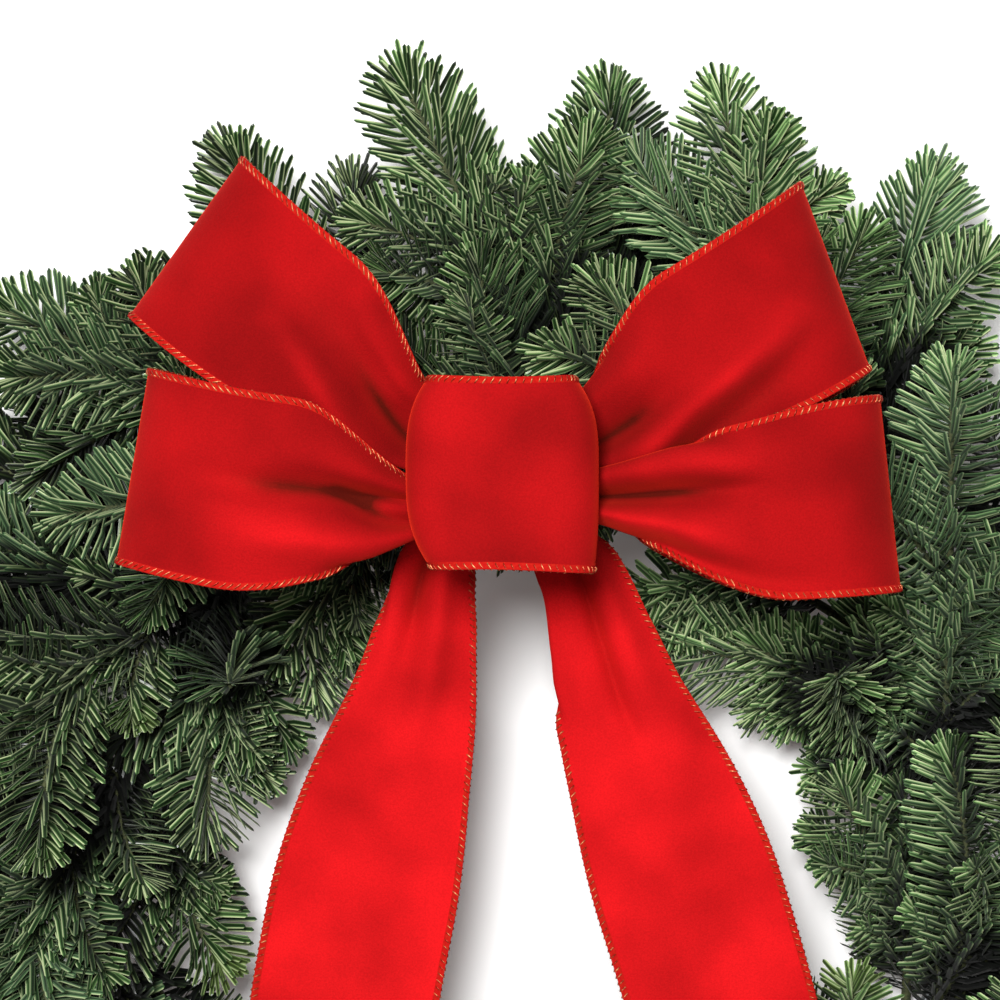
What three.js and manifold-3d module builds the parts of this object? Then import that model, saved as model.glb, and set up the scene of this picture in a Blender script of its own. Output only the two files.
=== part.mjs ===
// A fresh evergreen wreath with a velvet ribbon bow, lying face up, in millimetres, +Z up.
// The origin is the middle of the ring, on the surface that the wreath lies on, and the bow is at +Y.
// A steel ring with twelve clamps holds twelve bunches of fir sprays. Each bunch points
// counter-clockwise and covers the stems of the next one. A tie wire holds the bow to the ring.
import * as THREE from "three";
import { mergeVertices } from "three/addons/utils/BufferGeometryUtils.js";
import Module from "manifold-3d";

const wasm = await Module();
wasm.setup();

const V = (x, y, z) => new THREE.Vector3(x, y, z);
const UP = V(0, 0, 1);
const GAP = 0.3; // between pieces that touch

// Clamp ring
const RING_RADIUS = 152; // a 12 inch ring, to the middle of its wire
const RING_PIECES = 36;
const WIRE_RADIUS = 1.9;
const BUNCHES = 12;
const FIRST_CLAMP = 5; // degrees
const STRIP = 1.6; // thickness of a clamp's strip
const CLAMP_WIDTH = 5; // along the ring
const WIRE_Z = STRIP + WIRE_RADIUS * 0.85; // the wire is welded into the clamps' bases

// Stems, four to a clamp: two on its base beside the wire, and two on top of those
const STEM_HALF = 2.1;
const LOWER_Z = STRIP + GAP + STEM_HALF;
const UPPER_Z = LOWER_Z + 2 * STEM_HALF + GAP;
const LOWER_SIDE = WIRE_RADIUS + STEM_HALF + 1;
const UPPER_SIDE = STEM_HALF + GAP / 2;
const CLAMP_INSIDE = LOWER_SIDE + STEM_HALF + 2 * GAP; // half its width
const CLAMP_TOP = UPPER_Z + STEM_HALF + GAP;
const PRONG_GAP = 1.5; // from the middle to the end of each prong
const CUT_END = 17; // how far a stem runs on behind its clamp
const LEADER_STEPS = 4;
const TIP_HALF = 1.5; // half a leader's thickness at its tip
const TWIG_HALF = 1.15;
const TWIG_FORWARD = 0.78; // of a side twig's length, how much it runs along its leader
const TWIG_SIDEWAYS = 0.62;

// Needles
const NEEDLE = { length: 25, radius: 0.95 };
const NEEDLE_SPACING = 20;
const NEEDLE_LEAN = 52; // degrees from the twig
const GOLDEN = 137.5; // degrees that a needle is turned from the last one
const TIP_NEEDLES = { inset: 2.5, apart: 4, lean: 24 };
const BARE_STEM = CUT_END + 2 * CLAMP_WIDTH + 18; // from the cut end to the first needle
const BARE_TWIG = 8;
const CLEARANCE = 0.5; // between needles and what isn't their own spray
const RIBBON_CLEARANCE = 6; // from the points that stand for a ribbon
const LOWEST = 2; // no needle's root or tip is lower than this

// The kinds of spray in each bunch. slot is where the stem lies in the clamp, as side and height.
// via and tip are points that it bends by and ends at, as degrees past the clamp, distance from
// the ring's middle, and height. Each twig is the place along the spray where it grows, the side
// that it takes, its length and how much it rises.
const KINDS = {
  outer: {
    slot: [LOWER_SIDE, LOWER_Z],
    via: [16, 178, 9],
    tip: [18.5, 268, 22],
    twigs: [[0.38, -1, 62, -1], [0.52, 1, 68, -1]],
  },
  rim: {
    slot: [UPPER_SIDE, UPPER_Z],
    via: [25, 184, 23],
    tip: [32, 272, 48],
    twigs: [[0.42, -1, 68, 12], [0.55, 1, 62, 3], [0.72, -1, 44, 6]],
  },
  inner: {
    slot: [-LOWER_SIDE, LOWER_Z],
    via: [17, 145, 13],
    tip: [37, 119, 34],
    twigs: [[0.5, -1, 40, 17], [0.64, 1, 27, -2]],
  },
  front: {
    slot: [-UPPER_SIDE, UPPER_Z],
    via: [15, 158, 35],
    tip: [44, 206, 86],
    twigs: [[0.5, -1, 54, 10], [0.64, 1, 48, 12]],
  },
};

// Sprays that are set by hand, under the bow and where the wreath's outline has its own shape:
// bunch and kind, then the tip
const TIPS = {
  "2 outer": [25.6, 273, 22],
  "2 rim": [40.5, 276, 48],
  "3 rim": [32, 277, 48],
  "4 outer": [17.5, 264, 22],
  "4 rim": [36, 270, 46],
  "2 inner": [29, 116, 34],
  "2 front": [44, 205, 62],
  "3 front": [43, 198, 52],
  "4 front": [44, 200, 60],
};

// Bow
const RIBBON_WIDTH = 63.5; // a 2.5 inch ribbon
const RIBBON_THICKNESS = 1;
const BOW = V(-9, 144.5, 0); // the middle of its waist
const WAIST_Z = 97;
const WAIST_WIDTH = 12.5; // what the gathered ribbon measures across
const OPEN_FROM = 10; // distance from the waist at which the gathers start to open
const OPEN_AT = 68;
const LOOP_Z = 118; // the middle of a loop, away from the waist
const LOOP_SWELL = 26;
const INTERLEAVE = 4; // the lower loops lie this much in front, the upper ones behind
const PLEAT = 3;
const PLEATS = 1.5;
const CENTRE = { half: 31.5, depth: 20, z: 131, open: 7 };

// The loops, from the waist by way of a point to the middle of the fold, measured from the waist.
// skew is how much farther out the fold's upper end is than its middle.
const LOOPS = {
  loop_upper_left: { from: [-2.4, 6.5], via: [-44, 18], fold: [-103.2, 76], skew: 5, front: -1 },
  loop_lower_left: { from: [-2, -8.5], via: [-50, -17], fold: [-119.4, 1.5], skew: 3, front: 1 },
  loop_upper_right: { from: [2.4, 6.5], via: [44, 17], fold: [107.1, 62.6], skew: 7.5, front: -1 },
  loop_lower_right: { from: [2, -8.5], via: [50, -13], fold: [124.9, -7.4], skew: -1, front: 1 },
};

// The tails, as points of their middle line measured from the waist, with their height
const TAILS = {
  tail_left: [
    [-4.5, -13.2, 87], [-20, -34, 81], [-34, -77, 77], [-43, -111, 76], [-54, -178, 74], [-63, -252, 71],
  ],
  tail_right: [
    [4.5, -13.2, 87], [22, -34, 81], [39, -77, 77], [52.5, -111, 76], [73.5, -178, 74], [90, -248, 71],
  ],
};
const TAIL_NOTCH = 22;
const TAIL_OPEN_AT = 125;

// The tie wire's way round the waist and the ring, as Y and Z
const TIE_HALF = 0.5;
const TIE = [
  [143, 0.55], [161, 0.55], [163, 12], [162, 60], [159, WAIST_Z], [129, WAIST_Z], [130, 60], [141, 12],
];

const FIR = new THREE.MeshStandardMaterial({ color: "#2f4a33", roughness: 0.6 });
const STEEL = new THREE.MeshStandardMaterial({ color: "#8d9290", roughness: 0.45, metalness: 0.9 });
const VELVET = new THREE.MeshStandardMaterial({ color: "#b80f18", roughness: 0.9 });
const TIE_STEEL = new THREE.MeshStandardMaterial({ color: "#3f5a44", roughness: 0.5, metalness: 0.4 });

// A number from -1 to 1 that is always the same for the same i and j
function jitter(i, j) {
  const s = Math.sin(i * 12.9898 + j * 78.233) * 43758.5453;
  return 2 * (s - Math.floor(s)) - 1;
}

function smooth(from, to, x) {
  return THREE.MathUtils.smoothstep(x, from, to);
}

// The point at a distance from the ring's axis, an angle in degrees and a height
function polar(radius, degrees, z) {
  const a = THREE.MathUtils.degToRad(degrees);
  return V(radius * Math.cos(a), radius * Math.sin(a), z);
}

function clampAngle(bunch) {
  return FIRST_CLAMP + (bunch - 1) * (360 / BUNCHES);
}

function solidOf(geometry) {
  const bare = new THREE.BufferGeometry();
  bare.setAttribute("position", geometry.getAttribute("position"));
  bare.setIndex(geometry.index);
  const merged = mergeVertices(bare, 1e-4);
  return new wasm.Manifold(
    new wasm.Mesh({
      numProp: 3,
      vertProperties: new Float32Array(merged.attributes.position.array),
      triVerts: new Uint32Array(merged.index.array),
    }),
  );
}

function meshOf(name, solids, material) {
  const { vertProperties, triVerts } = wasm.Manifold.union(solids).getMesh();
  const geometry = new THREE.BufferGeometry();
  geometry.setAttribute("position", new THREE.BufferAttribute(vertProperties, 3));
  geometry.setIndex(new THREE.BufferAttribute(triVerts, 1));
  const mesh = new THREE.Mesh(geometry, material);
  mesh.name = name;
  return mesh;
}

// Moves every corner of a geometry to where place(x, y, z) puts it
function bend(geometry, place) {
  const position = geometry.getAttribute("position");
  for (let i = 0; i < position.count; i++) {
    const p = place(position.getX(i), position.getY(i), position.getZ(i));
    position.setXYZ(i, p.x, p.y, p.z);
  }
  return geometry;
}

// A twig's frame at a point of its axis: along it, level to its left, and up
function frameAt(axis, i) {
  const along = axis[Math.min(i + 1, axis.length - 1)].clone();
  along.sub(axis[Math.max(i - 1, 0)]).normalize();
  const side = V(0, 0, 0).crossVectors(UP, along).normalize();
  const up = V(0, 0, 0).crossVectors(along, side);
  return { along, side, up };
}

// A square twig along an axis, from half its thickness at the root to half that at the tip
function twigSolid(axis, rootHalf, tipHalf) {
  const steps = axis.length - 1;
  const prism = new THREE.CylinderGeometry(Math.SQRT2, Math.SQRT2, 1, 4, steps);
  prism.rotateY(Math.PI / 4);
  return solidOf(
    bend(prism, (x, y, z) => {
      const i = Math.round((y + 0.5) * steps);
      const half = THREE.MathUtils.lerp(rootHalf, tipHalf, i / steps);
      const { side, up } = frameAt(axis, i);
      return axis[i].clone().addScaledVector(side, -x * half).addScaledVector(up, z * half);
    }),
  );
}

// The axes of a spray: its leader, cut end first, and its side twigs
function sprayAxes(bunch, kind, n) {
  const { slot, via, tip: usualTip, twigs } = KINDS[kind];
  const byHand = TIPS[`${bunch} ${kind}`];
  const clamp = clampAngle(bunch);
  const arc = (length) => THREE.MathUtils.radToDeg(length / RING_RADIUS);
  const held = RING_RADIUS + slot[0];
  const tip = byHand || [usualTip[0] + 2 * jitter(n, 1), usualTip[1] + 4 * jitter(n, 2), usualTip[2]];
  const lift = byHand ? (tip[2] - usualTip[2]) * 0.4 : 0;
  const curve = new THREE.QuadraticBezierCurve3(
    polar(held, clamp + arc(CLAMP_WIDTH), slot[1]),
    polar(via[1], clamp + via[0], via[2] + lift),
    polar(tip[1], clamp + tip[0], tip[2]),
  );
  const leader = [polar(held, clamp - arc(CUT_END), slot[1]), ...curve.getPoints(LEADER_STEPS)];
  const sideTwigs = twigs.map(([place, turn, usual, rise], j) => {
    const root = curve.getPoint(place);
    const along = curve.getTangent(place);
    const length = usual * (1 + 0.1 * jitter(n, 4 + j));
    const side = V(0, 0, 0).crossVectors(UP, along).normalize();
    const end = root.clone().addScaledVector(along, length * TWIG_FORWARD);
    end.addScaledVector(side, turn * length * TWIG_SIDEWAYS);
    end.z += rise;
    return [root, end];
  });
  return { leader, twigs: sideTwigs };
}

// The least distance between two straight pieces, each given by its ends
function apart([a, b], [c, d]) {
  const u = b.clone().sub(a);
  const w = d.clone().sub(c);
  const r = a.clone().sub(c);
  const uu = u.dot(u);
  const ww = w.dot(w);
  const uw = u.dot(w);
  const clamp = (x) => THREE.MathUtils.clamp(x, 0, 1);
  const across = uu * ww - uw * uw;
  let s = across > 1e-9 ? clamp((uw * w.dot(r) - u.dot(r) * ww) / across) : 0;
  const t = clamp((uw * s + w.dot(r)) / ww);
  s = clamp((uw * t - u.dot(r)) / uu);
  return a.clone().addScaledVector(u, s).distanceTo(c.clone().addScaledVector(w, t));
}

// A three-sided needle from its root, inside a twig, to its tip
function needleSolid(root, tip) {
  const length = root.distanceTo(tip);
  const needle = new THREE.ConeGeometry(NEEDLE.radius, length, 3);
  needle.translate(0, length / 2, 0);
  const direction = tip.clone().sub(root).normalize();
  needle.applyQuaternion(new THREE.Quaternion().setFromUnitVectors(V(0, 1, 0), direction));
  needle.translate(root.x, root.y, root.z);
  return solidOf(needle);
}

// What needles keep clear of: straight pieces, each with its radius and the spray that it is of,
// and points spread over the ribbons
const obstacles = [];
const ribbonPoints = [];

function addObstacle(ends, radius, spray = "", isCore = true) {
  const middle = ends[0].clone().lerp(ends[1], 0.5);
  obstacles.push({ ends, radius, spray, isCore, middle, half: middle.distanceTo(ends[0]) });
}

// True where a needle is clear of the ribbons and of everything that isn't its own spray, and
// past its first quarter also of its spray's other needles
function isClear(root, tip, spray) {
  if (Math.min(root.z, tip.z) < LOWEST) return false;
  const middle = root.clone().lerp(tip, 0.5);
  const half = NEEDLE.length * 0.6;
  const free = root.clone().lerp(tip, 0.25);
  const nearRibbon = ribbonPoints.some(
    (p) => p.distanceTo(middle) < half + RIBBON_CLEARANCE
      && apart([root, tip], [p, p.clone().add(UP)]) < RIBBON_CLEARANCE,
  );
  if (nearRibbon) return false;
  return obstacles.every((o) => {
    if (o.middle.distanceTo(middle) > o.half + half + o.radius + NEEDLE.radius + 1) return true;
    if (o.spray !== spray) return apart([root, tip], o.ends) > o.radius + NEEDLE.radius + CLEARANCE;
    return o.isCore || apart([free, tip], o.ends) > 2 * NEEDLE.radius;
  });
}

// Tries a needle at one place of a twig, each time turned farther and leaned closer to the twig,
// and returns its root and tip where it is clear, or nothing
function placeNeedle(root, along, { roll, lean, length }, spray) {
  const side = V(0, 0, 0).crossVectors(UP, along).normalize();
  const up = V(0, 0, 0).crossVectors(along, side);
  for (let attempt = 0; attempt < 8; attempt++) {
    const turned = THREE.MathUtils.degToRad(roll + attempt * 41);
    const leaned = THREE.MathUtils.degToRad(lean - attempt * 2.5);
    const tip = root.clone().addScaledVector(along, length * Math.cos(leaned));
    tip.addScaledVector(side, length * Math.sin(leaned) * Math.cos(turned));
    tip.addScaledVector(up, length * Math.sin(leaned) * Math.sin(turned));
    if (isClear(root, tip, spray)) return [root, tip];
  }
  return null;
}

// The needles of one twig, bare up to a distance from its start. Each is turned from the last
// by the golden angle, and the last two lie close along the tip.
function needlesOn(axis, bare, spray, n) {
  const path = new THREE.CurvePath();
  for (let i = 1; i < axis.length; i++) path.add(new THREE.LineCurve3(axis[i - 1], axis[i]));
  const total = path.getLength();
  const count = Math.floor((total - bare) / NEEDLE_SPACING);
  const solids = [];
  for (let i = 0; i < count + 2; i++) {
    const last = i - count;
    const distance = last < 0
      ? bare + (i + 0.5 + 0.25 * jitter(n, i)) * NEEDLE_SPACING
      : total - TIP_NEEDLES.inset - TIP_NEEDLES.apart * last;
    const share = distance / total;
    const style = last < 0
      ? { roll: (i + n * 3) * GOLDEN, lean: NEEDLE_LEAN }
      : { roll: last * 180 + 20, lean: TIP_NEEDLES.lean };
    style.length = NEEDLE.length * (1 + 0.1 * jitter(n, i + 50));
    const placed = placeNeedle(path.getPointAt(share), path.getTangentAt(share), style, spray);
    if (!placed) continue;
    addObstacle(placed, NEEDLE.radius, spray, false);
    solids.push(needleSolid(...placed));
  }
  return solids;
}

// The plan of a loop's middle line, and the way across it, at a share of its length
function loopPlan({ from, via, fold }, share) {
  const curve = new THREE.QuadraticBezierCurve(
    new THREE.Vector2(...from), new THREE.Vector2(...via), new THREE.Vector2(...fold));
  const point = curve.getPoint(share);
  const along = curve.getTangent(share);
  const across = along.x > 0 ? V(-along.y, along.x, 0) : V(along.y, -along.x, 0);
  return { point: V(point.x, point.y, 0).add(BOW), along: V(along.x, along.y, 0), across };
}

// A loop's surface. u runs from the waist, over the front sheet, round the fold and back.
// v is -1 to 1 across the ribbon.
function loopSurface(loop, u, v) {
  const turn = 2 * Math.PI * u;
  const share = (1 - Math.cos(turn)) / 2;
  const reach = Math.hypot(loop.fold[0], loop.fold[1]);
  const open = smooth(OPEN_FROM, OPEN_AT, share * reach);
  const { point, along, across } = loopPlan(loop, share);
  const half = THREE.MathUtils.lerp(WAIST_WIDTH, RIBBON_WIDTH, open) / 2;
  const pleat = PLEAT * (1 - smooth(20, 85, share * reach)) * Math.cos(Math.PI * PLEATS * v);
  const middle = THREE.MathUtils.lerp(WAIST_Z, LOOP_Z, smooth(12, 80, share * reach));
  const forward = loop.front * INTERLEAVE * smooth(14, 40, share * reach);
  const sheet = 1.9 * Math.cos(turn / 2) * (1 - share) + LOOP_SWELL * Math.sin(turn) * Math.sqrt(share);
  point.addScaledVector(across, half * v).addScaledVector(along, loop.skew * v * share * share);
  point.z = middle + forward + sheet + pleat;
  return point;
}

// The small loop that hides the waist. u runs round it from the waist, and v across the ribbon.
function centreSurface(u, v) {
  const turn = THREE.MathUtils.degToRad(THREE.MathUtils.lerp(CENTRE.open, 360 - CENTRE.open, u));
  const x = -CENTRE.half * Math.sin(turn);
  return V(x + 1.5 * v, (v * RIBBON_WIDTH) / 2, CENTRE.z - CENTRE.depth * Math.cos(turn)).add(BOW);
}

// A tail's surface. u runs from the waist to the notched end.
function tailSurface(curve, u, v) {
  const length = curve.getLength();
  const share = Math.min(u * (1 - (TAIL_NOTCH / length) * (1 - Math.abs(v)) * u ** 6), 1);
  const point = curve.getPointAt(share);
  const along = curve.getTangentAt(share);
  const across = V(-along.y, along.x, 0).normalize();
  const open = smooth(0, TAIL_OPEN_AT, share * length);
  const half = THREE.MathUtils.lerp(8, RIBBON_WIDTH, open) / 2;
  const pleat = 2.5 * (1 - open) * Math.cos(Math.PI * PLEATS * v);
  point.addScaledVector(across, half * v).add(BOW);
  point.z += pleat + 3 * Math.sin(5 * share) * (1 - v * v) * open;
  return point;
}

// A ribbon of even thickness on both sides of a surface
function ribbonSolid(surface, along, across) {
  const h = 1e-3;
  return solidOf(
    bend(new THREE.BoxGeometry(1, 2, 1, along, across, 1), (x, y, z) => {
      const u = THREE.MathUtils.clamp(x + 0.5, h, 1 - h);
      const v = THREE.MathUtils.clamp(y, h - 1, 1 - h);
      const alongSheet = surface(u + h, v).sub(surface(u - h, v));
      const acrossSheet = surface(u, v + h).sub(surface(u, v - h));
      const normal = alongSheet.cross(acrossSheet).normalize();
      return surface(x + 0.5, y).addScaledVector(normal, z * RIBBON_THICKNESS);
    }),
  );
}

// A ribbon's mesh, with points spread over it for the needles to keep clear of
function addRibbon(group, name, surface, along, across) {
  group.add(meshOf(name, [ribbonSolid(surface, along, across)], VELVET));
  for (let i = 0; i <= 28; i++) {
    for (let j = 0; j <= 8; j++) ribbonPoints.push(surface(i / 28, j / 4 - 1));
  }
}

// The wire ring with its clamps. A clamp's strip lies under the stems, stands up on both sides
// of them and is bent over them.
function addFrame(group) {
  const ring = new THREE.TorusGeometry(RING_RADIUS, WIRE_RADIUS, 4, RING_PIECES);
  ring.translate(0, 0, WIRE_Z);
  const wide = CLAMP_INSIDE + STRIP;
  const high = CLAMP_TOP + STRIP;
  const half = [
    [wide, 0], [wide, high], [PRONG_GAP, high], [PRONG_GAP, CLAMP_TOP], [CLAMP_INSIDE, CLAMP_TOP],
    [CLAMP_INSIDE, STRIP],
  ];
  const corners = [...half, ...half.map(([x, z]) => [-x, z]).reverse()];
  const shape = new THREE.Shape(corners.map(([x, z]) => new THREE.Vector2(x, z)));
  const solids = [solidOf(ring)];
  for (let bunch = 1; bunch <= BUNCHES; bunch++) {
    const strip = new THREE.ExtrudeGeometry(shape, { depth: CLAMP_WIDTH, bevelEnabled: false });
    strip.translate(0, 0, -CLAMP_WIDTH / 2);
    strip.rotateX(Math.PI / 2);
    strip.translate(RING_RADIUS, 0, 0);
    strip.rotateZ(THREE.MathUtils.degToRad(clampAngle(bunch)));
    strip.deleteAttribute("normal");
    strip.deleteAttribute("uv");
    solids.push(solidOf(mergeVertices(strip)));
    for (const side of [-CLAMP_INSIDE, 0, CLAMP_INSIDE]) {
      const foot = polar(RING_RADIUS + side, clampAngle(bunch), 0);
      addObstacle([foot, foot.clone().setZ(high)], CLAMP_WIDTH);
    }
  }
  for (let i = 0; i < RING_PIECES; i++) {
    const [from, to] = [i, i + 1].map((k) => polar(RING_RADIUS, (k * 360) / RING_PIECES, WIRE_Z));
    addObstacle([from, to], WIRE_RADIUS);
  }
  group.add(meshOf("wreath_frame", solids, STEEL));
}

// The tie wire, a closed loop with four sides
function addTie(group) {
  const points = TIE.map(([y, z]) => V(BOW.x, y, z));
  const thin = 0.2; // of the torus that is bent into the loop
  const solid = solidOf(
    bend(new THREE.TorusGeometry(1, thin, 4, points.length), (x, y, z) => {
      const turn = Math.atan2(y, x) / (2 * Math.PI);
      const i = (Math.round(turn * points.length) + points.length) % points.length;
      const before = points[(i + points.length - 1) % points.length];
      const along = points[(i + 1) % points.length].clone().sub(before).normalize();
      const outward = V(0, 0, 0).crossVectors(along, V(1, 0, 0));
      const scale = TIE_HALF / thin;
      const p = points[i].clone().addScaledVector(outward, (Math.hypot(x, y) - 1) * scale);
      return p.setX(p.x + z * scale);
    }),
  );
  group.add(meshOf("bow_tie_wire", [solid], TIE_STEEL));
  points.forEach((p, i) => addObstacle([p, points[(i + 1) % points.length]], TIE_HALF));
}

// All sprays. Their stems and twigs are placed first, and the needles grow clear of them.
function addSprays(group) {
  const sprays = [];
  for (let bunch = 1; bunch <= BUNCHES; bunch++) {
    for (const kind of Object.keys(KINDS)) {
      const name = `${kind}_spray_${String(bunch).padStart(2, "0")}`;
      sprays.push({ name, ...sprayAxes(bunch, kind, sprays.length) });
    }
  }
  for (const { name, leader, twigs } of sprays) {
    for (let i = 1; i < leader.length; i++) {
      addObstacle([leader[i - 1], leader[i]], STEM_HALF * Math.SQRT2, name);
    }
    for (const twig of twigs) addObstacle(twig, TWIG_HALF * Math.SQRT2, name);
  }
  sprays.forEach(({ name, leader, twigs }, n) => {
    const solids = [twigSolid(leader, STEM_HALF, TIP_HALF), ...needlesOn(leader, BARE_STEM, name, n)];
    twigs.forEach((twig, j) => {
      solids.push(twigSolid(twig, TWIG_HALF, TWIG_HALF));
      solids.push(...needlesOn(twig, BARE_TWIG, name, n + 100 * (j + 1)));
    });
    group.add(meshOf(name, solids, FIR));
  });
}

const wreath = new THREE.Group();
addFrame(wreath);
for (const [name, loop] of Object.entries(LOOPS)) {
  addRibbon(wreath, name, (u, v) => loopSurface(loop, u, v), 14, 4);
}
for (const [name, points] of Object.entries(TAILS)) {
  const curve = new THREE.CatmullRomCurve3(points.map((p) => V(...p)));
  addRibbon(wreath, name, (u, v) => tailSurface(curve, u, v), 10, 3);
}
addRibbon(wreath, "centre_loop", centreSurface, 14, 2);
addTie(wreath);
addSprays(wreath);

export default wreath;
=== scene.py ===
"""A fresh noble fir wreath with a velvet ribbon bow, lying face up and seen from straight above.

Lengths are written in millimetres and made metres where a mesh is built. The sprays' axes, the
ribbons' surfaces and the clamps repeat the sizes of the solid part, and this script adds the
needles, the ribbons' gathers and stitched edges, and every finish.
"""
import logging
from dataclasses import dataclass, field
from enum import Enum, IntEnum
from typing import Callable

import bpy
import numpy as np
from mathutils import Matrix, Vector


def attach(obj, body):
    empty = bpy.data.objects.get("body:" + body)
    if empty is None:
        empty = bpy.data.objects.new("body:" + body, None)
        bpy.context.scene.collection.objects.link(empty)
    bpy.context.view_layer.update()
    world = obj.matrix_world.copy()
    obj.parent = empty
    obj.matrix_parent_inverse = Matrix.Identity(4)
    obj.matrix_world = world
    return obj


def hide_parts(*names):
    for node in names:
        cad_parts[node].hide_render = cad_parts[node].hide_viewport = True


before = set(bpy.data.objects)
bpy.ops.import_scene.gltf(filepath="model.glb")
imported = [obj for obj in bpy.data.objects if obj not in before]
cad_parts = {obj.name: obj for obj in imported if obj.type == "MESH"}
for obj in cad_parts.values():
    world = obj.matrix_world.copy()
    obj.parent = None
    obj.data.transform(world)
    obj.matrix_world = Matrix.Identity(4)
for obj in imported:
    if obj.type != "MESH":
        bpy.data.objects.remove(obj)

logging.basicConfig(level=logging.INFO, format="%(message)s")
LOG = logging.getLogger("wreath")

Point = tuple[float, float, float]
Surface = Callable[[np.ndarray, np.ndarray], np.ndarray]

MM = 0.001
UP = np.array([0.0, 0.0, 1.0])
SEED = 2214
# The rise of a path, as a sine, from which a tube's side is taken from the x axis.
STEEP = 0.97

# Clamp ring
RING_RADIUS = 152.0
WIRE_RADIUS = 1.9
BUNCHES = 12
FIRST_CLAMP = 5.0
STRIP = 1.6
CLAMP_WIDTH = 5.0
GAP = 0.3
WIRE_Z = STRIP + WIRE_RADIUS * 0.85

# Stems in their clamps
STEM_HALF = 2.1
LOWER_Z = STRIP + GAP + STEM_HALF
UPPER_Z = LOWER_Z + 2 * STEM_HALF + GAP
LOWER_SIDE = WIRE_RADIUS + STEM_HALF + 1
UPPER_SIDE = STEM_HALF + GAP / 2
CLAMP_INSIDE = LOWER_SIDE + STEM_HALF + 2 * GAP
CLAMP_TOP = UPPER_Z + STEM_HALF + GAP
PRONG_GAP = 1.5
CUT_END = 17.0

# Bow
RIBBON_WIDTH = 63.5
BOW = np.array([-9.0, 144.5, 0.0])
WAIST_Z = 97.0
WAIST_WIDTH = 12.5
LOOP_Z = 118.0
LOOP_SWELL = 26.0
INTERLEAVE = 4.0
TAIL_NOTCH = 22.0
TAIL_OPEN_AT = 148.0
TIE = [(143, 0.55), (161, 0.55), (163, 12), (162, 60), (159, 97), (129, 97), (130, 60), (141, 12)]
TIE_RADIUS = 0.5

# Kinds of shader node, how a mix of colours is set, and its two colours' numbers
PLACE = "ShaderNodeTexCoord"
UV_MAP = "ShaderNodeUVMap"
TINT = "ShaderNodeVertexColor"
NOISE = "ShaderNodeTexNoise"
CELLS = "ShaderNodeTexVoronoi"
RAMP = "ShaderNodeValToRGB"
SPLIT = "ShaderNodeSeparateColor"
MATH = "ShaderNodeMath"
BUMP = "ShaderNodeBump"
MIX = "ShaderNodeMix"
BLEND = {"data_type": "RGBA"}
MULTIPLY = {"data_type": "RGBA", "blend_type": "MULTIPLY"}
UNDER, OVER = 6, 7


def smooth(low: float, high: float, x: np.ndarray) -> np.ndarray:
    """Returns 0 below low, 1 above high and the smooth step 3tt - 2ttt between."""
    t = np.clip((x - low) / (high - low), 0, 1)
    return t * t * (3 - 2 * t)


def mix(a: np.ndarray, b: np.ndarray, t: np.ndarray) -> np.ndarray:
    """Returns a at t = 0, b at t = 1, and what lies in proportion between."""
    return a + (b - a) * t


def unit(v: np.ndarray) -> np.ndarray:
    """Returns vectors of length 1 along the last axis."""
    return v / np.maximum(np.linalg.norm(v, axis=-1, keepdims=True), 1e-12)


def jitter(i: int, j: int) -> float:
    """Returns a number from -1 to 1 that is always the same for the same i and j."""
    s = np.sin(i * 12.9898 + j * 78.233) * 43758.5453
    return float(2 * (s - np.floor(s)) - 1)


def polar(radius: float, degrees: float, z: float) -> np.ndarray:
    """Returns the point at a distance from the ring's axis, an angle and a height."""
    a = np.radians(degrees)
    return np.array([radius * np.cos(a), radius * np.sin(a), z])


def clamp_angle(bunch: int) -> float:
    """Returns where round the ring a bunch's clamp is, in degrees."""
    return FIRST_CLAMP + (bunch - 1) * 360 / BUNCHES


def quadratic(a: np.ndarray, b: np.ndarray, c: np.ndarray, t: np.ndarray) -> np.ndarray:
    """Returns points of the curve that starts at a, bends towards b and ends at c."""
    t = np.asarray(t, dtype=float)[..., None]
    return (1 - t) ** 2 * a + 2 * t * (1 - t) * b + t * t * c


def heading(a: np.ndarray, b: np.ndarray, c: np.ndarray, t: np.ndarray) -> np.ndarray:
    """Returns the directions in which that curve runs, 2 (1 - t) (b - a) + 2 t (c - b)."""
    t = np.asarray(t, dtype=float)[..., None]
    return unit(2 * (1 - t) * (b - a) + 2 * t * (c - b))


def distances(path: np.ndarray) -> np.ndarray:
    """Returns how far along a path each of its points lies."""
    return np.concatenate([[0], np.cumsum(np.linalg.norm(np.diff(path, axis=0), axis=1))])


def read_off(wanted: np.ndarray, reach: np.ndarray, rows: np.ndarray) -> np.ndarray:
    """Returns the rows at wanted distances, where rows are known at the distances in reach."""
    return np.stack([np.interp(wanted, reach, rows[:, k]) for k in range(3)], -1)


def rounded(points: np.ndarray, times: int, closed: bool = False) -> np.ndarray:
    """Cuts the corners off a path again and again, a quarter from each end of each side.

    Args:
        points: the path's corners, one a row.
        times: how often its corners are cut.
        closed: whether the path's end joins its start.

    Returns:
        The smoother path, with the same ends where it is open.
    """
    for _ in range(times):
        after = np.roll(points, -1, axis=0) if closed else points[1:]
        before = points if closed else points[:-1]
        cut = np.stack([0.75 * before + 0.25 * after, 0.25 * before + 0.75 * after], axis=1)
        cut = cut.reshape(-1, points.shape[1])
        points = cut if closed else np.vstack([points[:1], cut[1:-1], points[-1:]])
    return points


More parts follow.
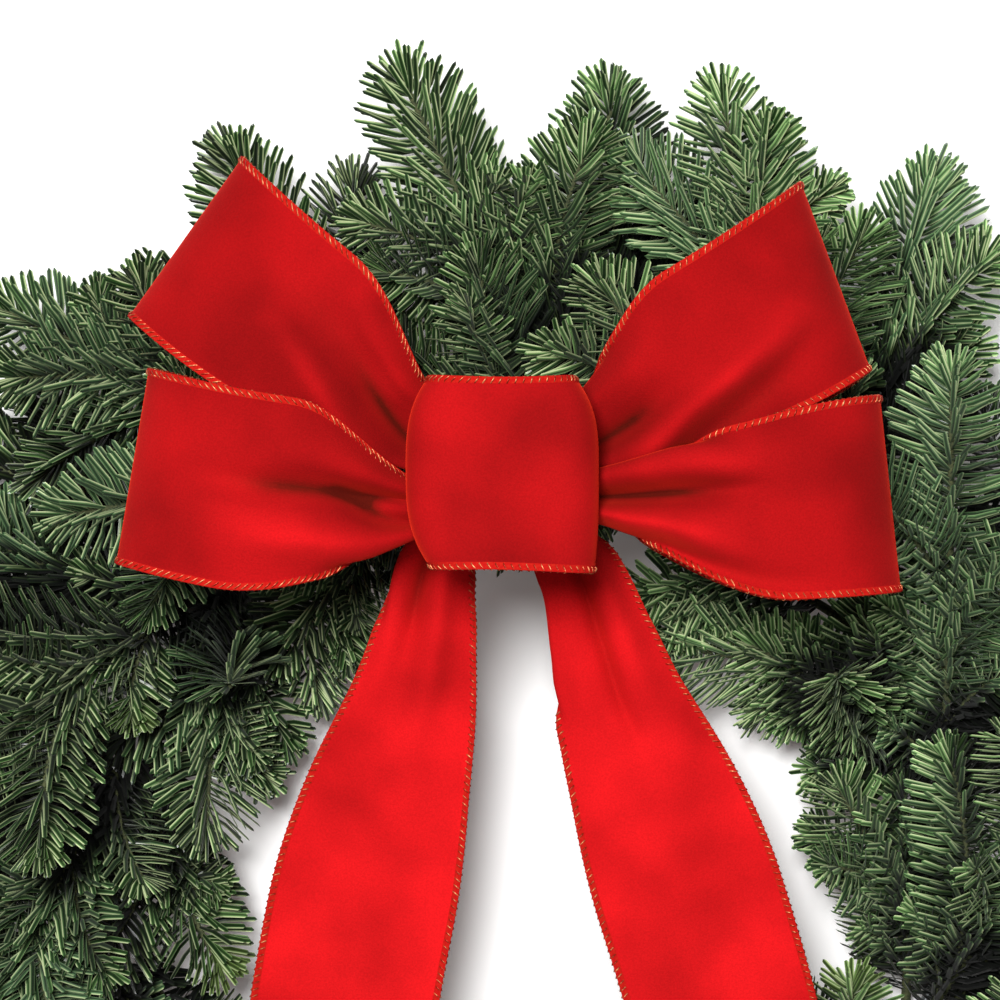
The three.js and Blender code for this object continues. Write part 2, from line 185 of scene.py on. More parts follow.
@dataclass
class Shell:
    """One or more closed skins: points in millimetres, their faces, and what the finish reads."""

    points: np.ndarray
    quads: np.ndarray
    tris: np.ndarray = field(default_factory=lambda: np.zeros((0, 3), int))
    uv: np.ndarray | None = None
    tint: np.ndarray | None = None
    finish: int | np.ndarray = 0
    smooth: bool = True

    def outward(self) -> "Shell":
        """Turns the faces outwards, by the sign of the volume, the sum of a (b x c) over them.

        Returns:
            The shell itself.
        """
        corners = np.vstack([self.quads[:, [0, 1, 2]], self.quads[:, [0, 2, 3]], self.tris])
        a, b, c = (self.points[corners[:, k]] for k in range(3))
        if np.einsum("ij,ij->", a, np.cross(b, c)) < 0:
            self.quads = self.quads[:, ::-1]
            self.tris = self.tris[:, ::-1]
        return self


def grid_quads(rows: int, columns: int, closed: bool) -> np.ndarray:
    """Joins a grid of points into quads.

    Args:
        rows: how many points the grid has along.
        columns: how many it has across.
        closed: whether its last column joins its first.

    Returns:
        The quads, as their corners' numbers.
    """
    here = np.arange(rows - 1)[:, None] * columns
    column = np.arange(columns if closed else columns - 1)[None, :]
    after = (column + 1) % columns
    ahead = here + columns
    corners = [here + column, here + after, ahead + after, ahead + column]
    return np.stack(corners, axis=-1).reshape(-1, 4)


def sweep(path: np.ndarray, radius: np.ndarray, sides: int, closed: bool = False) -> Shell:
    """Carries a circle along a path: centre + radius (side cos a + up sin a).

    Args:
        path: the path's points.
        radius: the circle's radius at each point.
        sides: how many sides the circle has.
        closed: whether the path joins its start.

    Returns:
        The tube, closed by a point in the middle of each end where the path is open.
    """
    if closed:
        along = unit(np.roll(path, -1, axis=0) - np.roll(path, 1, axis=0))
    else:
        along = unit(np.gradient(path, axis=0))
    flat = np.abs(along @ UP)[:, None] < STEEP
    side = unit(np.cross(np.where(flat, UP, np.array([1.0, 0, 0])), along))
    up = np.cross(along, side)
    a = np.linspace(0, 2 * np.pi, sides, endpoint=False)
    ring = side[:, None] * np.cos(a)[None, :, None] + up[:, None] * np.sin(a)[None, :, None]
    points = (path[:, None] + ring * np.reshape(radius, (-1, 1, 1))).reshape(-1, 3)
    count = len(path)
    around = a * radius.mean()
    uv = np.stack(np.broadcast_arrays(distances(path)[:, None], around[None, :]), -1)
    uv = uv.reshape(-1, 2)
    if closed:
        quads = grid_quads(count + 1, sides, True) % (count * sides)
        return Shell(points, quads, uv=uv * MM).outward()
    first = np.arange(sides)
    last = first + (count - 1) * sides
    middle = count * sides
    tris = np.vstack([
        np.stack([np.roll(first, -1), first, np.full(sides, middle)], -1),
        np.stack([last, np.roll(last, -1), np.full(sides, middle + 1)], -1),
    ])
    points = np.vstack([points, path[:1], path[-1:]])
    uv = np.vstack([uv, uv[:1], uv[-1:]])
    return Shell(points, grid_quads(count, sides, True), tris, uv=uv * MM).outward()


def make_piece(name: str, shells: list[Shell],
               finishes: list[bpy.types.Material]) -> bpy.types.Object:
    """Puts shells into one mesh object at the origin, in metres.

    Args:
        name: the piece's name.
        shells: its skins, each with the number of its finish, or one number for each face.
        finishes: the materials that those numbers name.

    Returns:
        The new object, with a UV map named surface and a colour attribute named tint.
    """
    starts = np.cumsum([0] + [len(s.points) for s in shells])
    points = np.vstack([s.points for s in shells]) * MM
    loops, sizes, numbers, even = [], [], [], []
    for start, s in zip(starts, shells):
        number = np.broadcast_to(s.finish, len(s.quads) + len(s.tris))
        for faces, offset in ((s.quads, 0), (s.tris, len(s.quads))):
            loops.append((faces + start).ravel())
            sizes.append(np.full(len(faces), faces.shape[1]))
            numbers.append(number[offset:offset + len(faces)])
            even.append(np.full(len(faces), s.smooth))
    loops, sizes, numbers = (np.concatenate(x).astype(np.int32) for x in (loops, sizes, numbers))
    first = np.concatenate([[0], np.cumsum(sizes)[:-1]]).astype(np.int32)
    mesh = bpy.data.meshes.new(name)
    mesh.vertices.add(len(points))
    mesh.vertices.foreach_set("co", points.astype(np.float32).ravel())
    mesh.loops.add(len(loops))
    mesh.loops.foreach_set("vertex_index", loops)
    mesh.polygons.add(len(sizes))
    mesh.polygons.foreach_set("loop_start", first)
    mesh.polygons.foreach_set("material_index", numbers)
    mesh.polygons.foreach_set("use_smooth", np.concatenate(even))
    uv = np.vstack([np.zeros((len(s.points), 2)) if s.uv is None else s.uv for s in shells])
    mesh.uv_layers.new(name="surface").data.foreach_set("uv", uv[loops].astype(np.float32).ravel())
    tint = [np.full((len(s.points), 3), 0.5) if s.tint is None else s.tint for s in shells]
    tint = np.hstack([np.vstack(tint), np.ones((len(points), 1))]).astype(np.float32)
    colours = mesh.color_attributes.new("tint", "FLOAT_COLOR", "POINT")
    colours.data.foreach_set("color", tint.ravel())
    for finish in finishes:
        mesh.materials.append(finish)
    mesh.update(calc_edges=True)
    mesh.validate()
    piece = bpy.data.objects.new(name, mesh)
    bpy.context.scene.collection.objects.link(piece)
    LOG.info("%s: %d triangles", name, int((sizes - 2).sum()))
    return piece


def dress(piece: bpy.types.Object, slot: str, *nodes: str) -> None:
    """Makes a piece ride with the wreath, and stand for CAD nodes.

    Args:
        piece: the piece.
        slot: not used.
        nodes: the CAD nodes that it stands for, if any.
    """
    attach(piece, "root")
    if nodes:
        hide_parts(*nodes)


def linear(colour: str) -> tuple[float, float, float, float]:
    """Returns the linear colour of an sRGB hex value such as #c4101a."""
    parts = [int(colour[k:k + 2], 16) / 255 for k in (1, 3, 5)]
    return (*(c / 12.92 if c <= 0.04045 else ((c + 0.055) / 1.055) ** 2.4 for c in parts), 1.0)


def add_node(material: bpy.types.Material, kind: str, settings: dict | None = None,
             inputs: dict | None = None) -> bpy.types.Node:
    """Adds a node with its settings, and sets or links its inputs.

    Args:
        material: the material that the node is added to.
        kind: the node's type.
        settings: the node's own properties, and for a ramp its stops: places with hex colours.
        inputs: an input's name or number, with a value, the output that feeds it, or the node
            whose first output in use does.

    Returns:
        The new node.
    """
    tree = material.node_tree
    node = tree.nodes.new(kind)
    settings = dict(settings or {})
    stops = settings.pop("stops", [])
    for number, (place, colour) in enumerate(stops):
        if number == len(node.color_ramp.elements):
            node.color_ramp.elements.new(place)
        node.color_ramp.elements[number].position = place
        node.color_ramp.elements[number].color = linear(colour)
    for name, value in settings.items():
        setattr(node, name, value)
    for key, value in (inputs or {}).items():
        if isinstance(value, bpy.types.Node):
            value = next(output for output in value.outputs if output.enabled)
        if isinstance(value, bpy.types.NodeSocket):
            tree.links.new(value, node.inputs[key])
        else:
            node.inputs[key].default_value = value
    return node


def new_finish(name: str, shader: dict) -> tuple[bpy.types.Material, bpy.types.Node]:
    """Makes a material with a Principled shader.

    Args:
        name: the material's name.
        shader: the shader's inputs that are the same all over.

    Returns:
        The material and its shader.
    """
    material = bpy.data.materials.new(name)
    material.use_nodes = True
    material.node_tree.nodes.clear()
    bsdf = add_node(material, "ShaderNodeBsdfPrincipled", inputs=shader)
    add_node(material, "ShaderNodeOutputMaterial", inputs={"Surface": bsdf})
    return material, bsdf


def feed(material: bpy.types.Material, bsdf: bpy.types.Node, colour: bpy.types.Node,
         bump: bpy.types.Node | None = None) -> bpy.types.Material:
    """Links a finish's colour to its shader, and its bump where it has one.

    Args:
        material: the material.
        bsdf: its shader.
        colour: the node that gives the colour.
        bump: the node that gives the bump.

    Returns:
        The material.
    """
    in_use = next(output for output in colour.outputs if output.enabled)
    material.node_tree.links.new(in_use, bsdf.inputs["Base Color"])
    if bump is not None:
        material.node_tree.links.new(bump.outputs["Normal"], bsdf.inputs["Normal"])
    return material


@dataclass(frozen=True)
class FirNeedles:
    """Living noble fir needles: waxy, deep green, with painted shade along the grooved middle.

    The wax gives a soft gloss, the rims carry a painted pale green highlight, young tips are
    yellower, and needles deep inside the wreath are painted almost black, as painted shade.
    """

    deep: str = "#0b1f06"
    middle: str = "#2b521f"
    light: str = "#8fc072"
    young: str = "#8ba64c"
    bloom: str = "#749f70"
    # Painted highlight: the pale green along the needles' edges, and how strong it is.
    rim: str = "#e4f2b8"
    rim_highlight_least: float = 0.34
    rim_highlight_gain: float = 0.95

    def material(self) -> bpy.types.Material:
        """Builds the material.

        It reads the tint attribute, which holds the needle's own shade, how open to the light
        it lies and how young its twig is, and the UV map, which runs across the needle.

        Returns:
            The material.
        """
        material, bsdf = new_finish("fir_needles", {
            "Roughness": 0.4, "IOR": 1.48, "Coat Weight": 0.2, "Coat Roughness": 0.25,
            "Sheen Weight": 0.05})
        tint = add_node(material, TINT, {"layer_name": "tint"})
        parts = add_node(material, SPLIT, inputs={"Color": tint})
        own, lit, twig = (parts.outputs[name] for name in ("Red", "Green", "Blue"))
        uv = add_node(material, UV_MAP, {"uv_map": "surface"})
        across = add_node(material, "ShaderNodeSeparateXYZ", inputs={"Vector": uv}).outputs["X"]
        body = add_node(material, RAMP, {
            "stops": [(0.0, self.deep), (0.55, self.middle), (1.0, self.light)]}, {"Fac": own})
        tone = add_node(material, RAMP, {
            "stops": [(0.0, self.bloom), (0.5, self.middle), (1.0, self.young)]}, {"Fac": twig})
        # Only the oldest and the youngest twigs take a tone of their own.
        toned = add_node(material, RAMP, {
            "stops": [(0.0, "#d8d8d8"), (0.35, "#000000"), (0.6, "#000000"), (1.0, "#d8d8d8")]},
            {"Fac": twig})
        body = add_node(material, MIX, BLEND, {"Factor": toned, UNDER: body, OVER: tone})
        # Painted shade: a darker band along the middle of each needle, where a real one is grooved.
        painted_groove_shade = add_node(material, RAMP, {
            "stops": [(0.12, "#ffffff"), (0.34, "#9a9a9a"), (0.5, "#7c7c7c"), (0.62, "#ffffff")]},
            {"Fac": across})
        body = add_node(material, MIX, MULTIPLY, {"Factor": 1.0, UNDER: body, OVER: painted_groove_shade})
        # Painted highlight: pale green bands along both edges of each needle.
        edge = add_node(material, RAMP, {
            "stops": [(0.0, "#b4b4b4"), (0.1, "#000000"), (0.72, "#000000"), (0.86, "#e6e6e6")]},
            {"Fac": across})
        # A lighter needle has a brighter painted highlight at its edges.
        clear = add_node(material, MATH, {"operation": "MULTIPLY_ADD", "use_clamp": True}, {
            0: own, 1: self.rim_highlight_gain, 2: self.rim_highlight_least})
        edge = add_node(material, MATH, {"operation": "MULTIPLY"}, {0: edge, 1: clear})
        body = add_node(material, MIX, BLEND, {
            "Factor": edge, UNDER: body, OVER: linear(self.rim)})
        # Painted shade: needles that lie deep under others are painted darker, down to almost
        # black.
        depth = add_node(material, RAMP, {
            "stops": [(0.0, "#0f130d"), (0.5, "#57614f"), (0.95, "#ffffff")]}, {"Fac": lit})
        return feed(material, bsdf, add_node(material, MIX, MULTIPLY, {
            "Factor": 1.0, UNDER: body, OVER: depth}))


@dataclass(frozen=True)
class FirBark:
    """A young fir twig's bark: thin, matt, olive to brown, rough with the scars of old needles."""

    light: str = "#4d5130"
    dark: str = "#2a321c"

    def material(self) -> bpy.types.Material:
        """Builds the material, with a noise of about 1.5 mm for the scars.

        Returns:
            The material.
        """
        material, bsdf = new_finish("fir_bark", {"Roughness": 0.85, "IOR": 1.5})
        place = add_node(material, PLACE).outputs["Object"]
        scars = add_node(material, NOISE, inputs={
            "Vector": place, "Scale": 650.0, "Detail": 3.0, "Roughness": 0.6})
        colour = add_node(material, RAMP, {
            "stops": [(0.35, self.dark), (0.62, self.light)]}, {"Fac": scars})
        bump = add_node(material, BUMP, inputs={
            "Height": scars, "Strength": 0.6, "Distance": 0.0006})
        return feed(material, bsdf, colour, bump)


@dataclass(frozen=True)
class CutWood:
    """The pale, resinous wood of a freshly cut stem."""

    wood: str = "#d9c193"
    ring: str = "#b3945f"

    def material(self) -> bpy.types.Material:
        """Builds the material, with growth rings of about 0.7 mm drawn as a fine noise.

        Returns:
            The material.
        """
        material, bsdf = new_finish("cut_fir_wood", {"Roughness": 0.7})
        place = add_node(material, PLACE).outputs["Object"]
        rings = add_node(material, NOISE, inputs={"Vector": place, "Scale": 1500.0})
        return feed(material, bsdf, add_node(material, RAMP, {
            "stops": [(0.3, self.ring), (0.7, self.wood)]}, {"Fac": rings}))


@dataclass(frozen=True)
class RedVelvet:
    """Acetate velvet: a dense short pile, with painted shade where it stands towards the eye.

    The pile's tips light up at a glancing angle. Painted light makes it lighter where it lies
    away from the eye, as along the tails, and on ridges; painted shade darkens its creases.
    Where it was pressed it keeps soft patches a few centimetres across.
    """

    # Painted light and shade: away is a lit and towards a shaded tone of the same red, and the
    # darkest red paints shade into the creases.
    away: str = "#e4161b"
    towards: str = "#9a080b"
    glow: str = "#ff3a1e"
    painted_shade: str = "#621205"
    painted_shade_share: float = 0.9

    def material(self) -> bpy.types.Material:
        """Builds the material. The pile is drawn as tufts of 0.6 mm, coarser than the real 0.2.

        It reads the tint attribute, which holds its painted light and its painted shade.

        Returns:
            The material.
        """
        material, bsdf = new_finish("red_velvet", {
            "Roughness": 0.95, "IOR": 1.5, "Specular IOR Level": 0.1, "Sheen Weight": 0.5,
            "Sheen Roughness": 0.4, "Sheen Tint": linear(self.glow)})
        place = add_node(material, PLACE).outputs["Object"]
        patches = add_node(material, NOISE, inputs={
            "Vector": place, "Scale": 24.0, "Detail": 2.0, "Roughness": 0.5})
        tufts = add_node(material, NOISE, inputs={
            "Vector": place, "Scale": 1600.0, "Detail": 2.0})
        tint = add_node(material, TINT, {"layer_name": "tint"})
        painted_light = add_node(material, SPLIT, inputs={"Color": tint})
        # Painted light and shade: the tint's red mixes the shaded and the lit tone.
        colour = add_node(material, MIX, BLEND, {
            "Factor": painted_light.outputs["Red"], UNDER: linear(self.towards), OVER: linear(self.away)})
        # Painted shade: the tint's green darkens the creases' valleys and the curled edges.
        painted_shade = add_node(material, MATH, {"operation": "MULTIPLY", "use_clamp": True}, {
            0: painted_light.outputs["Green"], 1: self.painted_shade_share})
        colour = add_node(material, MIX, BLEND, {
            "Factor": painted_shade, UNDER: colour, OVER: linear(self.painted_shade)})
        pressed = add_node(material, RAMP, {
            "stops": [(0.32, "#cdc2c2"), (0.62, "#ffffff")]}, {"Fac": patches})
        colour = add_node(material, MIX, MULTIPLY, {"Factor": 1.0, UNDER: colour, OVER: pressed})
        speck = add_node(material, RAMP, {
            "stops": [(0.3, "#e2dede"), (0.7, "#ffffff")]}, {"Fac": tufts})
        colour = add_node(material, MIX, MULTIPLY, {"Factor": 0.8, UNDER: colour, OVER: speck})
        bump = add_node(material, BUMP, inputs={
            "Height": tufts, "Strength": 0.3, "Distance": 0.0004})
        return feed(material, bsdf, colour, bump)


@dataclass(frozen=True)
class RibbonHem:
    """The turned hem over the edge wire, where the pile is sewn flat and copper thread shines
    through, so that it looks a warmer red than the velvet."""

    red: str = "#ab0f0c"
    copper: str = "#b41e10"

    def material(self) -> bpy.types.Material:
        """Builds the material, with threads about 0.7 mm apart.

        Returns:
            The material.
        """
        material, bsdf = new_finish("ribbon_hem", {"Roughness": 0.9, "Specular IOR Level": 0.1})
        place = add_node(material, PLACE).outputs["Object"]
        threads = add_node(material, NOISE, inputs={
            "Vector": place, "Scale": 1300.0, "Detail": 1.0})
        colour = add_node(material, RAMP, {
            "stops": [(0.42, self.red), (0.7, self.copper)]}, {"Fac": threads})
        bump = add_node(material, BUMP, inputs={
            "Height": threads, "Strength": 0.4, "Distance": 0.0003})
        return feed(material, bsdf, colour, bump)


@dataclass(frozen=True)
class RibbonBacking:
    """The woven back of the velvet ribbon: flat, slightly shiny threads 0.4 mm apart."""

    thread: str = "#8c0d12"
    between: str = "#5f070b"

    def material(self) -> bpy.types.Material:
        """Builds the material. The weave follows the UV map, which is in metres.

        Returns:
            The material.
        """
        material, bsdf = new_finish("ribbon_backing", {
            "Roughness": 0.55, "IOR": 1.5, "Sheen Weight": 0.15, "Sheen Roughness": 0.4})
        uv = add_node(material, UV_MAP, {"uv_map": "surface"})
        weave = add_node(material, CELLS, {"feature": "F1"}, {
            "Vector": uv, "Scale": 2500.0, "Randomness": 0.15})
        colour = add_node(material, RAMP, {
            "stops": [(0.1, self.thread), (0.7, self.between)]}, {"Fac": weave})
        bump = add_node(material, BUMP, inputs={
            "Height": weave, "Strength": 0.3, "Distance": 0.0002})
        return feed(material, bsdf, colour, bump)


@dataclass(frozen=True)
class EdgeThread:
    """Copper-gold lurex thread, sewn over the ribbon's wired edge, with painted glints here and
    there.
    """

    thread: str = "#a02c14"
    painted_glint: str = "#ec9a66"

    def material(self) -> bpy.types.Material:
        """Builds the material, with painted glints a few millimetres apart along the thread.

        Returns:
            The material.
        """
        material, bsdf = new_finish("edge_thread", {"Roughness": 0.42, "Metallic": 0.6})
        place = add_node(material, PLACE).outputs["Object"]
        # Painted highlight: lighter glints where the noise is high.
        glints = add_node(material, NOISE, inputs={
            "Vector": place, "Scale": 300.0, "Detail": 2.0})
        return feed(material, bsdf, add_node(material, RAMP, {
            "stops": [(0.45, self.thread), (0.68, self.painted_glint)]}, {"Fac": glints}))


@dataclass(frozen=True)
class ZincSteel:
    """Galvanised mild steel: grey, soft-shining, with the faint patches of its zinc."""

    light: str = "#a9aeb0"
    dark: str = "#7c8184"

    def material(self) -> bpy.types.Material:
        """Builds the material, with zinc patches about 3 mm across.

        Returns:
            The material.
        """
        material, bsdf = new_finish("galvanised_steel", {"Metallic": 1.0, "Roughness": 0.42})
        place = add_node(material, PLACE).outputs["Object"]
        patches = add_node(material, CELLS, inputs={"Vector": place, "Scale": 330.0})
        grey = add_node(material, SPLIT, inputs={"Color": patches.outputs["Color"]})
        return feed(material, bsdf, add_node(material, RAMP, {
            "stops": [(0.0, self.dark), (1.0, self.light)]}, {"Fac": grey}))


@dataclass(frozen=True)
class GreenEnamel:
    """Florist's wire, dipped in dark green enamel."""

    green: str = "#2f4a35"
    thin: str = "#233a2a"

    def material(self) -> bpy.types.Material:
        """Builds the material, a little uneven where the dip ran.

        Returns:
            The material.
        """
        material, bsdf = new_finish("green_enamel", {"Roughness": 0.35, "IOR": 1.5})
        place = add_node(material, PLACE).outputs["Object"]
        runs = add_node(material, NOISE, inputs={"Vector": place, "Scale": 300.0})
        return feed(material, bsdf, add_node(material, RAMP, {
            "stops": [(0.3, self.thin), (0.7, self.green)]}, {"Fac": runs}))


@dataclass(frozen=True)
class WhitePaper:
    """Matt white paper, lit a little from below as on a light table."""

    white: str = "#fbfbfa"
    glow: str = "#fff3f1"

    def material(self) -> bpy.types.Material:
        """Builds the material, which is the same all over.

        Returns:
            The material.
        """
        material, _ = new_finish("white_paper", {
            "Base Color": linear(self.white), "Roughness": 0.9,
            "Emission Color": linear(self.glow), "Emission Strength": 0.07})
        return material


class Kind(Enum):
    """The four kinds of spray in a bunch, in the order in which they are numbered."""

    OUTER = "outer"
    RIM = "rim"
    INNER = "inner"
    FRONT = "front"


class Draw(IntEnum):
    """The numbers under which a spray's chance is drawn. Numbered twigs count on from theirs."""

    TURN = 1
    REACH = 2
    TWIG_LENGTH = 4
    SMALL_LENGTH = 20
    SMALL_PLACE = 30
    SMALL_RISE = 40
    NEEDLES = 50
    AGE = 60
    TWIG_AGE = 61


class SprayFinish(IntEnum):
    """The finishes of a spray, in the order of its materials."""

    NEEDLES = 0
    BARK = 1
    CUT = 2


@dataclass(frozen=True)
class SideTwig:
    """A twig on a spray: its place along the leader, its side, its length and its rise."""

    place: float
    turn: int
    length: float
    rise: float


@dataclass(frozen=True)
class SprayShape:
    """A kind of spray: the stem's place in the clamp, the points it bends by and ends at, twigs.

    via and tip are degrees past the clamp, distance from the ring's middle, and height.
    """

    slot: tuple[float, float]
    via: Point
    tip: Point
    twigs: tuple[SideTwig, ...]


SHAPES = {
    Kind.OUTER: SprayShape(
        (LOWER_SIDE, LOWER_Z), (16, 178, 9), (18.5, 268, 22),
        (SideTwig(0.38, -1, 62, -1), SideTwig(0.52, 1, 68, -1))),
    Kind.RIM: SprayShape(
        (UPPER_SIDE, UPPER_Z), (25, 184, 23), (32, 272, 48),
        (SideTwig(0.42, -1, 68, 12), SideTwig(0.55, 1, 62, 3), SideTwig(0.72, -1, 44, 6))),
    Kind.INNER: SprayShape(
        (-LOWER_SIDE, LOWER_Z), (17, 145, 13), (37, 119, 34),
        (SideTwig(0.5, -1, 40, 17), SideTwig(0.64, 1, 27, -2))),
    Kind.FRONT: SprayShape(
        (-UPPER_SIDE, UPPER_Z), (15, 158, 35), (44, 206, 86),
        (SideTwig(0.5, -1, 54, 10), SideTwig(0.64, 1, 48, 12))),
}

# Tips that the solid part places one by one.
TIPS = {
    (2, Kind.OUTER): (25.6, 273, 22), (4, Kind.OUTER): (17.5, 264, 22),
    (2, Kind.RIM): (40.5, 276, 48), (3, Kind.RIM): (32, 277, 48), (4, Kind.RIM): (36, 270, 46),
    (2, Kind.INNER): (29, 116, 34),
    (2, Kind.FRONT): (44, 205, 62), (3, Kind.FRONT): (43, 198, 52), (4, Kind.FRONT): (44, 200, 60),
}

# Where the shoots that the photograph shows end: the leaders' ends first, then side twigs'.
AIMED_LEADERS = {
    (2, Kind.OUTER): (142, 247, 26), (3, Kind.OUTER): (29, 278, 26),
    (4, Kind.OUTER): (-104, 256, 26),
    (2, Kind.RIM): (67, 275, 50), (3, Kind.RIM): (-43, 280, 50), (4, Kind.RIM): (-183, 201, 50),
    (1, Kind.FRONT): (142, 177, 84), (2, Kind.FRONT): (24, 208, 66),
    (3, Kind.INNER): (-23, 125, 30), (5, Kind.INNER): (-113, 21, 40),
    (11, Kind.INNER): (114, -36, 37),
}
AIMED_TWIGS = {
    (2, Kind.OUTER, 0): (154, 190, 30),
    (3, Kind.OUTER, 0): (58, 237, 16), (3, Kind.OUTER, 1): (-9, 225, 30),
    (5, Kind.OUTER, 1): (-164, 157, 15),
    (2, Kind.RIM, 0): (116, 226, 46), (2, Kind.RIM, 1): (37, 251, 42),
    (2, Kind.RIM, 2): (104, 243, 50),
    (3, Kind.RIM, 0): (21, 259, 49), (3, Kind.RIM, 1): (-58, 232, 45),
    (3, Kind.RIM, 2): (-11, 244, 50),
    (4, Kind.RIM, 0): (-120, 205, 44), (4, Kind.RIM, 2): (-151, 205, 48),
    (2, Kind.FRONT, 1): (9, 186, 66),
    (3, Kind.INNER, 1): (0, 131, 24), (6, Kind.INNER, 1): (-113, -5, 31),
    (12, Kind.INNER, 1): (103, 17, 28),
}
# More shoots of the photograph: where each leaves its leader, and where it ends.
EXTRA_TWIGS = {
    (2, Kind.OUTER): ((0.58, (160, 219, 44)),),
    (2, Kind.RIM): ((0.7, (82, 262, 56)),),
    (3, Kind.RIM): ((0.45, (-50, 214, 52)),),
    (4, Kind.RIM): ((0.62, (-177, 177, 60)),),
    (1, Kind.INNER): (
        (0.8, (45, 83, 30)), (0.4, (105, 75, 68)), (0.3, (123, 86, 45)), (0.5, (97, 86, 35)),
        (0.25, (102, 39, 30)), (0.45, (106, 66, 54)), (0.32, (113, 54, 44))),
    (4, Kind.INNER): ((0.8, (-75, 67, 26)),),
    (5, Kind.INNER): ((0.25, (-102, 72, 70)), (0.35, (-86, 51, 26))),
    (12, Kind.INNER): ((0.25, (132, 33, 40)),),
    (12, Kind.FRONT): ((0.3, (145, 46, 60)),),
}


@dataclass
class Twig:
    """A twig to dress: its middle line, its thickness, and where its needles start."""

    path: np.ndarray
    root_radius: float
    tip_radius: float
    bare: float
    needles: float
    density: float
    cut: bool = False


@dataclass(frozen=True)
class TwigHabit:
    """How a spray's twigs grow. A spread is the most that chance adds or takes away.

    The solid part's needles reach past each axis. Here the axis itself goes on a little, by
    beyond, and shorter needles close it. A side twig starts along its leader, by the first
    share of bend. needles is the length of a twig's needles, between the two twig lengths of
    grown, as a share of the usual one. Small twigs fill the room between the others.
    """

    density: float = 2.1
    beyond: float = 9.0
    tip_turn_spread: float = 2.0
    tip_reach_spread: float = 4.0
    lift_share: float = 0.4
    leader_points: int = 22
    leader_sides: int = 8
    leader_bare: float = CUT_END + 2 * CLAMP_WIDTH + 10
    leader_needles: float = 0.96
    leader_needles_spread: float = 0.06
    points: int = 8
    sides: int = 5
    radius: float = 0.9
    taper: float = 1.25
    bare: float = 4.0
    length_spread: float = 0.1
    forward: float = 0.78
    aside: float = 0.62
    bend: tuple[float, float] = (0.25, 0.27)
    needles: tuple[float, float] = (0.7, 0.94)
    grown: tuple[float, float] = (25.0, 70.0)
    needles_spread: float = 0.05
    small_count: int = 4
    small_between: tuple[float, float] = (0.2, 0.58)
    small_between_spread: float = 0.03
    small_length: float = 38.0
    small_inner_length: float = 27.0
    small_length_spread: float = 0.2
    small_rise: float = 8.0
    small_rise_spread: float = 8.0
    small_radius: float = 0.7
    small_density: float = 0.78
    bud_steps: tuple[float, ...] = (1.2, 2.4, 3.0)
    bud_radii: tuple[float, ...] = (1.25, 0.9, 0.35)


@dataclass(frozen=True)
class NeedleHabit:
    """How needles sit on a shoot, and their shape. Angles are in degrees from the shoot.

    Pairs are a least and a most value, but crown_lean and rise are a least one and what is
    added to it. A crown of needles closes the shoot's end, where over the last tip_reach the
    other needles are shorter and lean forward.
    """

    length: float = 22.0
    length_spread: tuple[float, float] = (0.86, 1.06)
    width: float = 1.95
    ridge: float = 0.36
    ranks: tuple[float, ...] = (90, -60, 26, -90, 60, -26)
    rank_spread: float = 6.0
    place_spread: float = 0.35
    clear_of_root: float = 1.0
    clear_of_tip: float = 0.3
    roll: float = 24.0
    lean: tuple[float, float] = (42.0, 82.0)
    lean_spread: float = 2.5
    tip_reach: float = 20.0
    tip_lean: float = 26.0
    tip_shorter: float = 0.38
    first_reach: float = 12.0
    first_length: float = 0.7
    crown: int = 15
    crown_place: float = 1.0
    crown_lean: tuple[float, float] = (8.0, 50.0)
    crown_spread: tuple[float, float] = (0.8, 1.05)
    golden_turn: float = 0.618034
    curl: tuple[float, float] = (0.5, 1.0)
    curl_spread: tuple[float, float] = (0.8, 1.2)
    rise: tuple[float, float] = (0.1, 0.28)
    sideways: float = 0.9
    facing_out: float = 0.2
    facing_spread: float = 0.2
    stations: tuple[float, ...] = (0.0, 0.5, 0.95, 1.0)
    profile: tuple[float, ...] = (0.55, 1.0, 0.86)
    foot: float = 0.5
    tip_straighter: float = 0.5
    root_fresh: float = 0.5
    shade: float = 0.7
    shade_east: float = 0.3
    shade_reach: float = 120.0


# A needle's faces: two rings of quads round three sections of three points, its tip, its foot.
NEEDLE_POINTS = 10
NEEDLE_QUADS = grid_quads(3, 3, True)
NEEDLE_TRIS = np.array([[6, 7, 9], [7, 8, 9], [8, 6, 9], [1, 0, 2]])


@dataclass
class HeightGrid:
    """A height for each square of a grid that covers the wreath."""

    cell: float
    start: float
    half_side: float = 330.0
    heights: np.ndarray = field(init=False)

    def __post_init__(self) -> None:
        """Gives each square the height that the grid starts with."""
        count = int(2 * self.half_side / self.cell)
        self.heights = np.full((count, count), self.start)

    def squares(self, points: np.ndarray) -> tuple[np.ndarray, np.ndarray]:
        """Finds the squares in which points lie.

        Args:
            points: the points.

        Returns:
            The squares' rows and their columns.
        """
        places = ((points[..., :2] + self.half_side) / self.cell).astype(int)
        places = np.clip(places, 0, len(self.heights) - 1)
        return places[..., 0], places[..., 1]


@dataclass
class RibbonCover(HeightGrid):
    """The lowest point of the ribbons over each square, under which needles are pressed."""

    cell: float = 3.0
    start: float = 1000.0
    clear: float = 1.6
    floor: float = 1.8
    along: int = 260
    across: int = 60

    def lay(self, surface: Surface) -> None:
        """Lays a ribbon over the grid, and one square past its edges.

        Args:
            surface: the ribbon's surface.
        """
        u, v = np.meshgrid(
            np.linspace(0, 1, self.along), np.linspace(-1, 1, self.across), indexing="ij")
        points = surface(u, v).reshape(-1, 3)
        for dx in (-1, 0, 1):
            for dy in (-1, 0, 1):
                moved = points + np.array([dx, dy, 0]) * self.cell
                np.minimum.at(self.heights, self.squares(moved), points[:, 2])

    def press(self, points: np.ndarray) -> np.ndarray:
        """Moves points below the ribbons that lie over them, and above the floor.

        Args:
            points: the points.

        Returns:
            The moved points.
        """
        pressed = points.copy()
        ceiling = self.heights[self.squares(points)] - self.clear
        pressed[..., 2] = np.clip(points[..., 2], self.floor, ceiling)
        return pressed


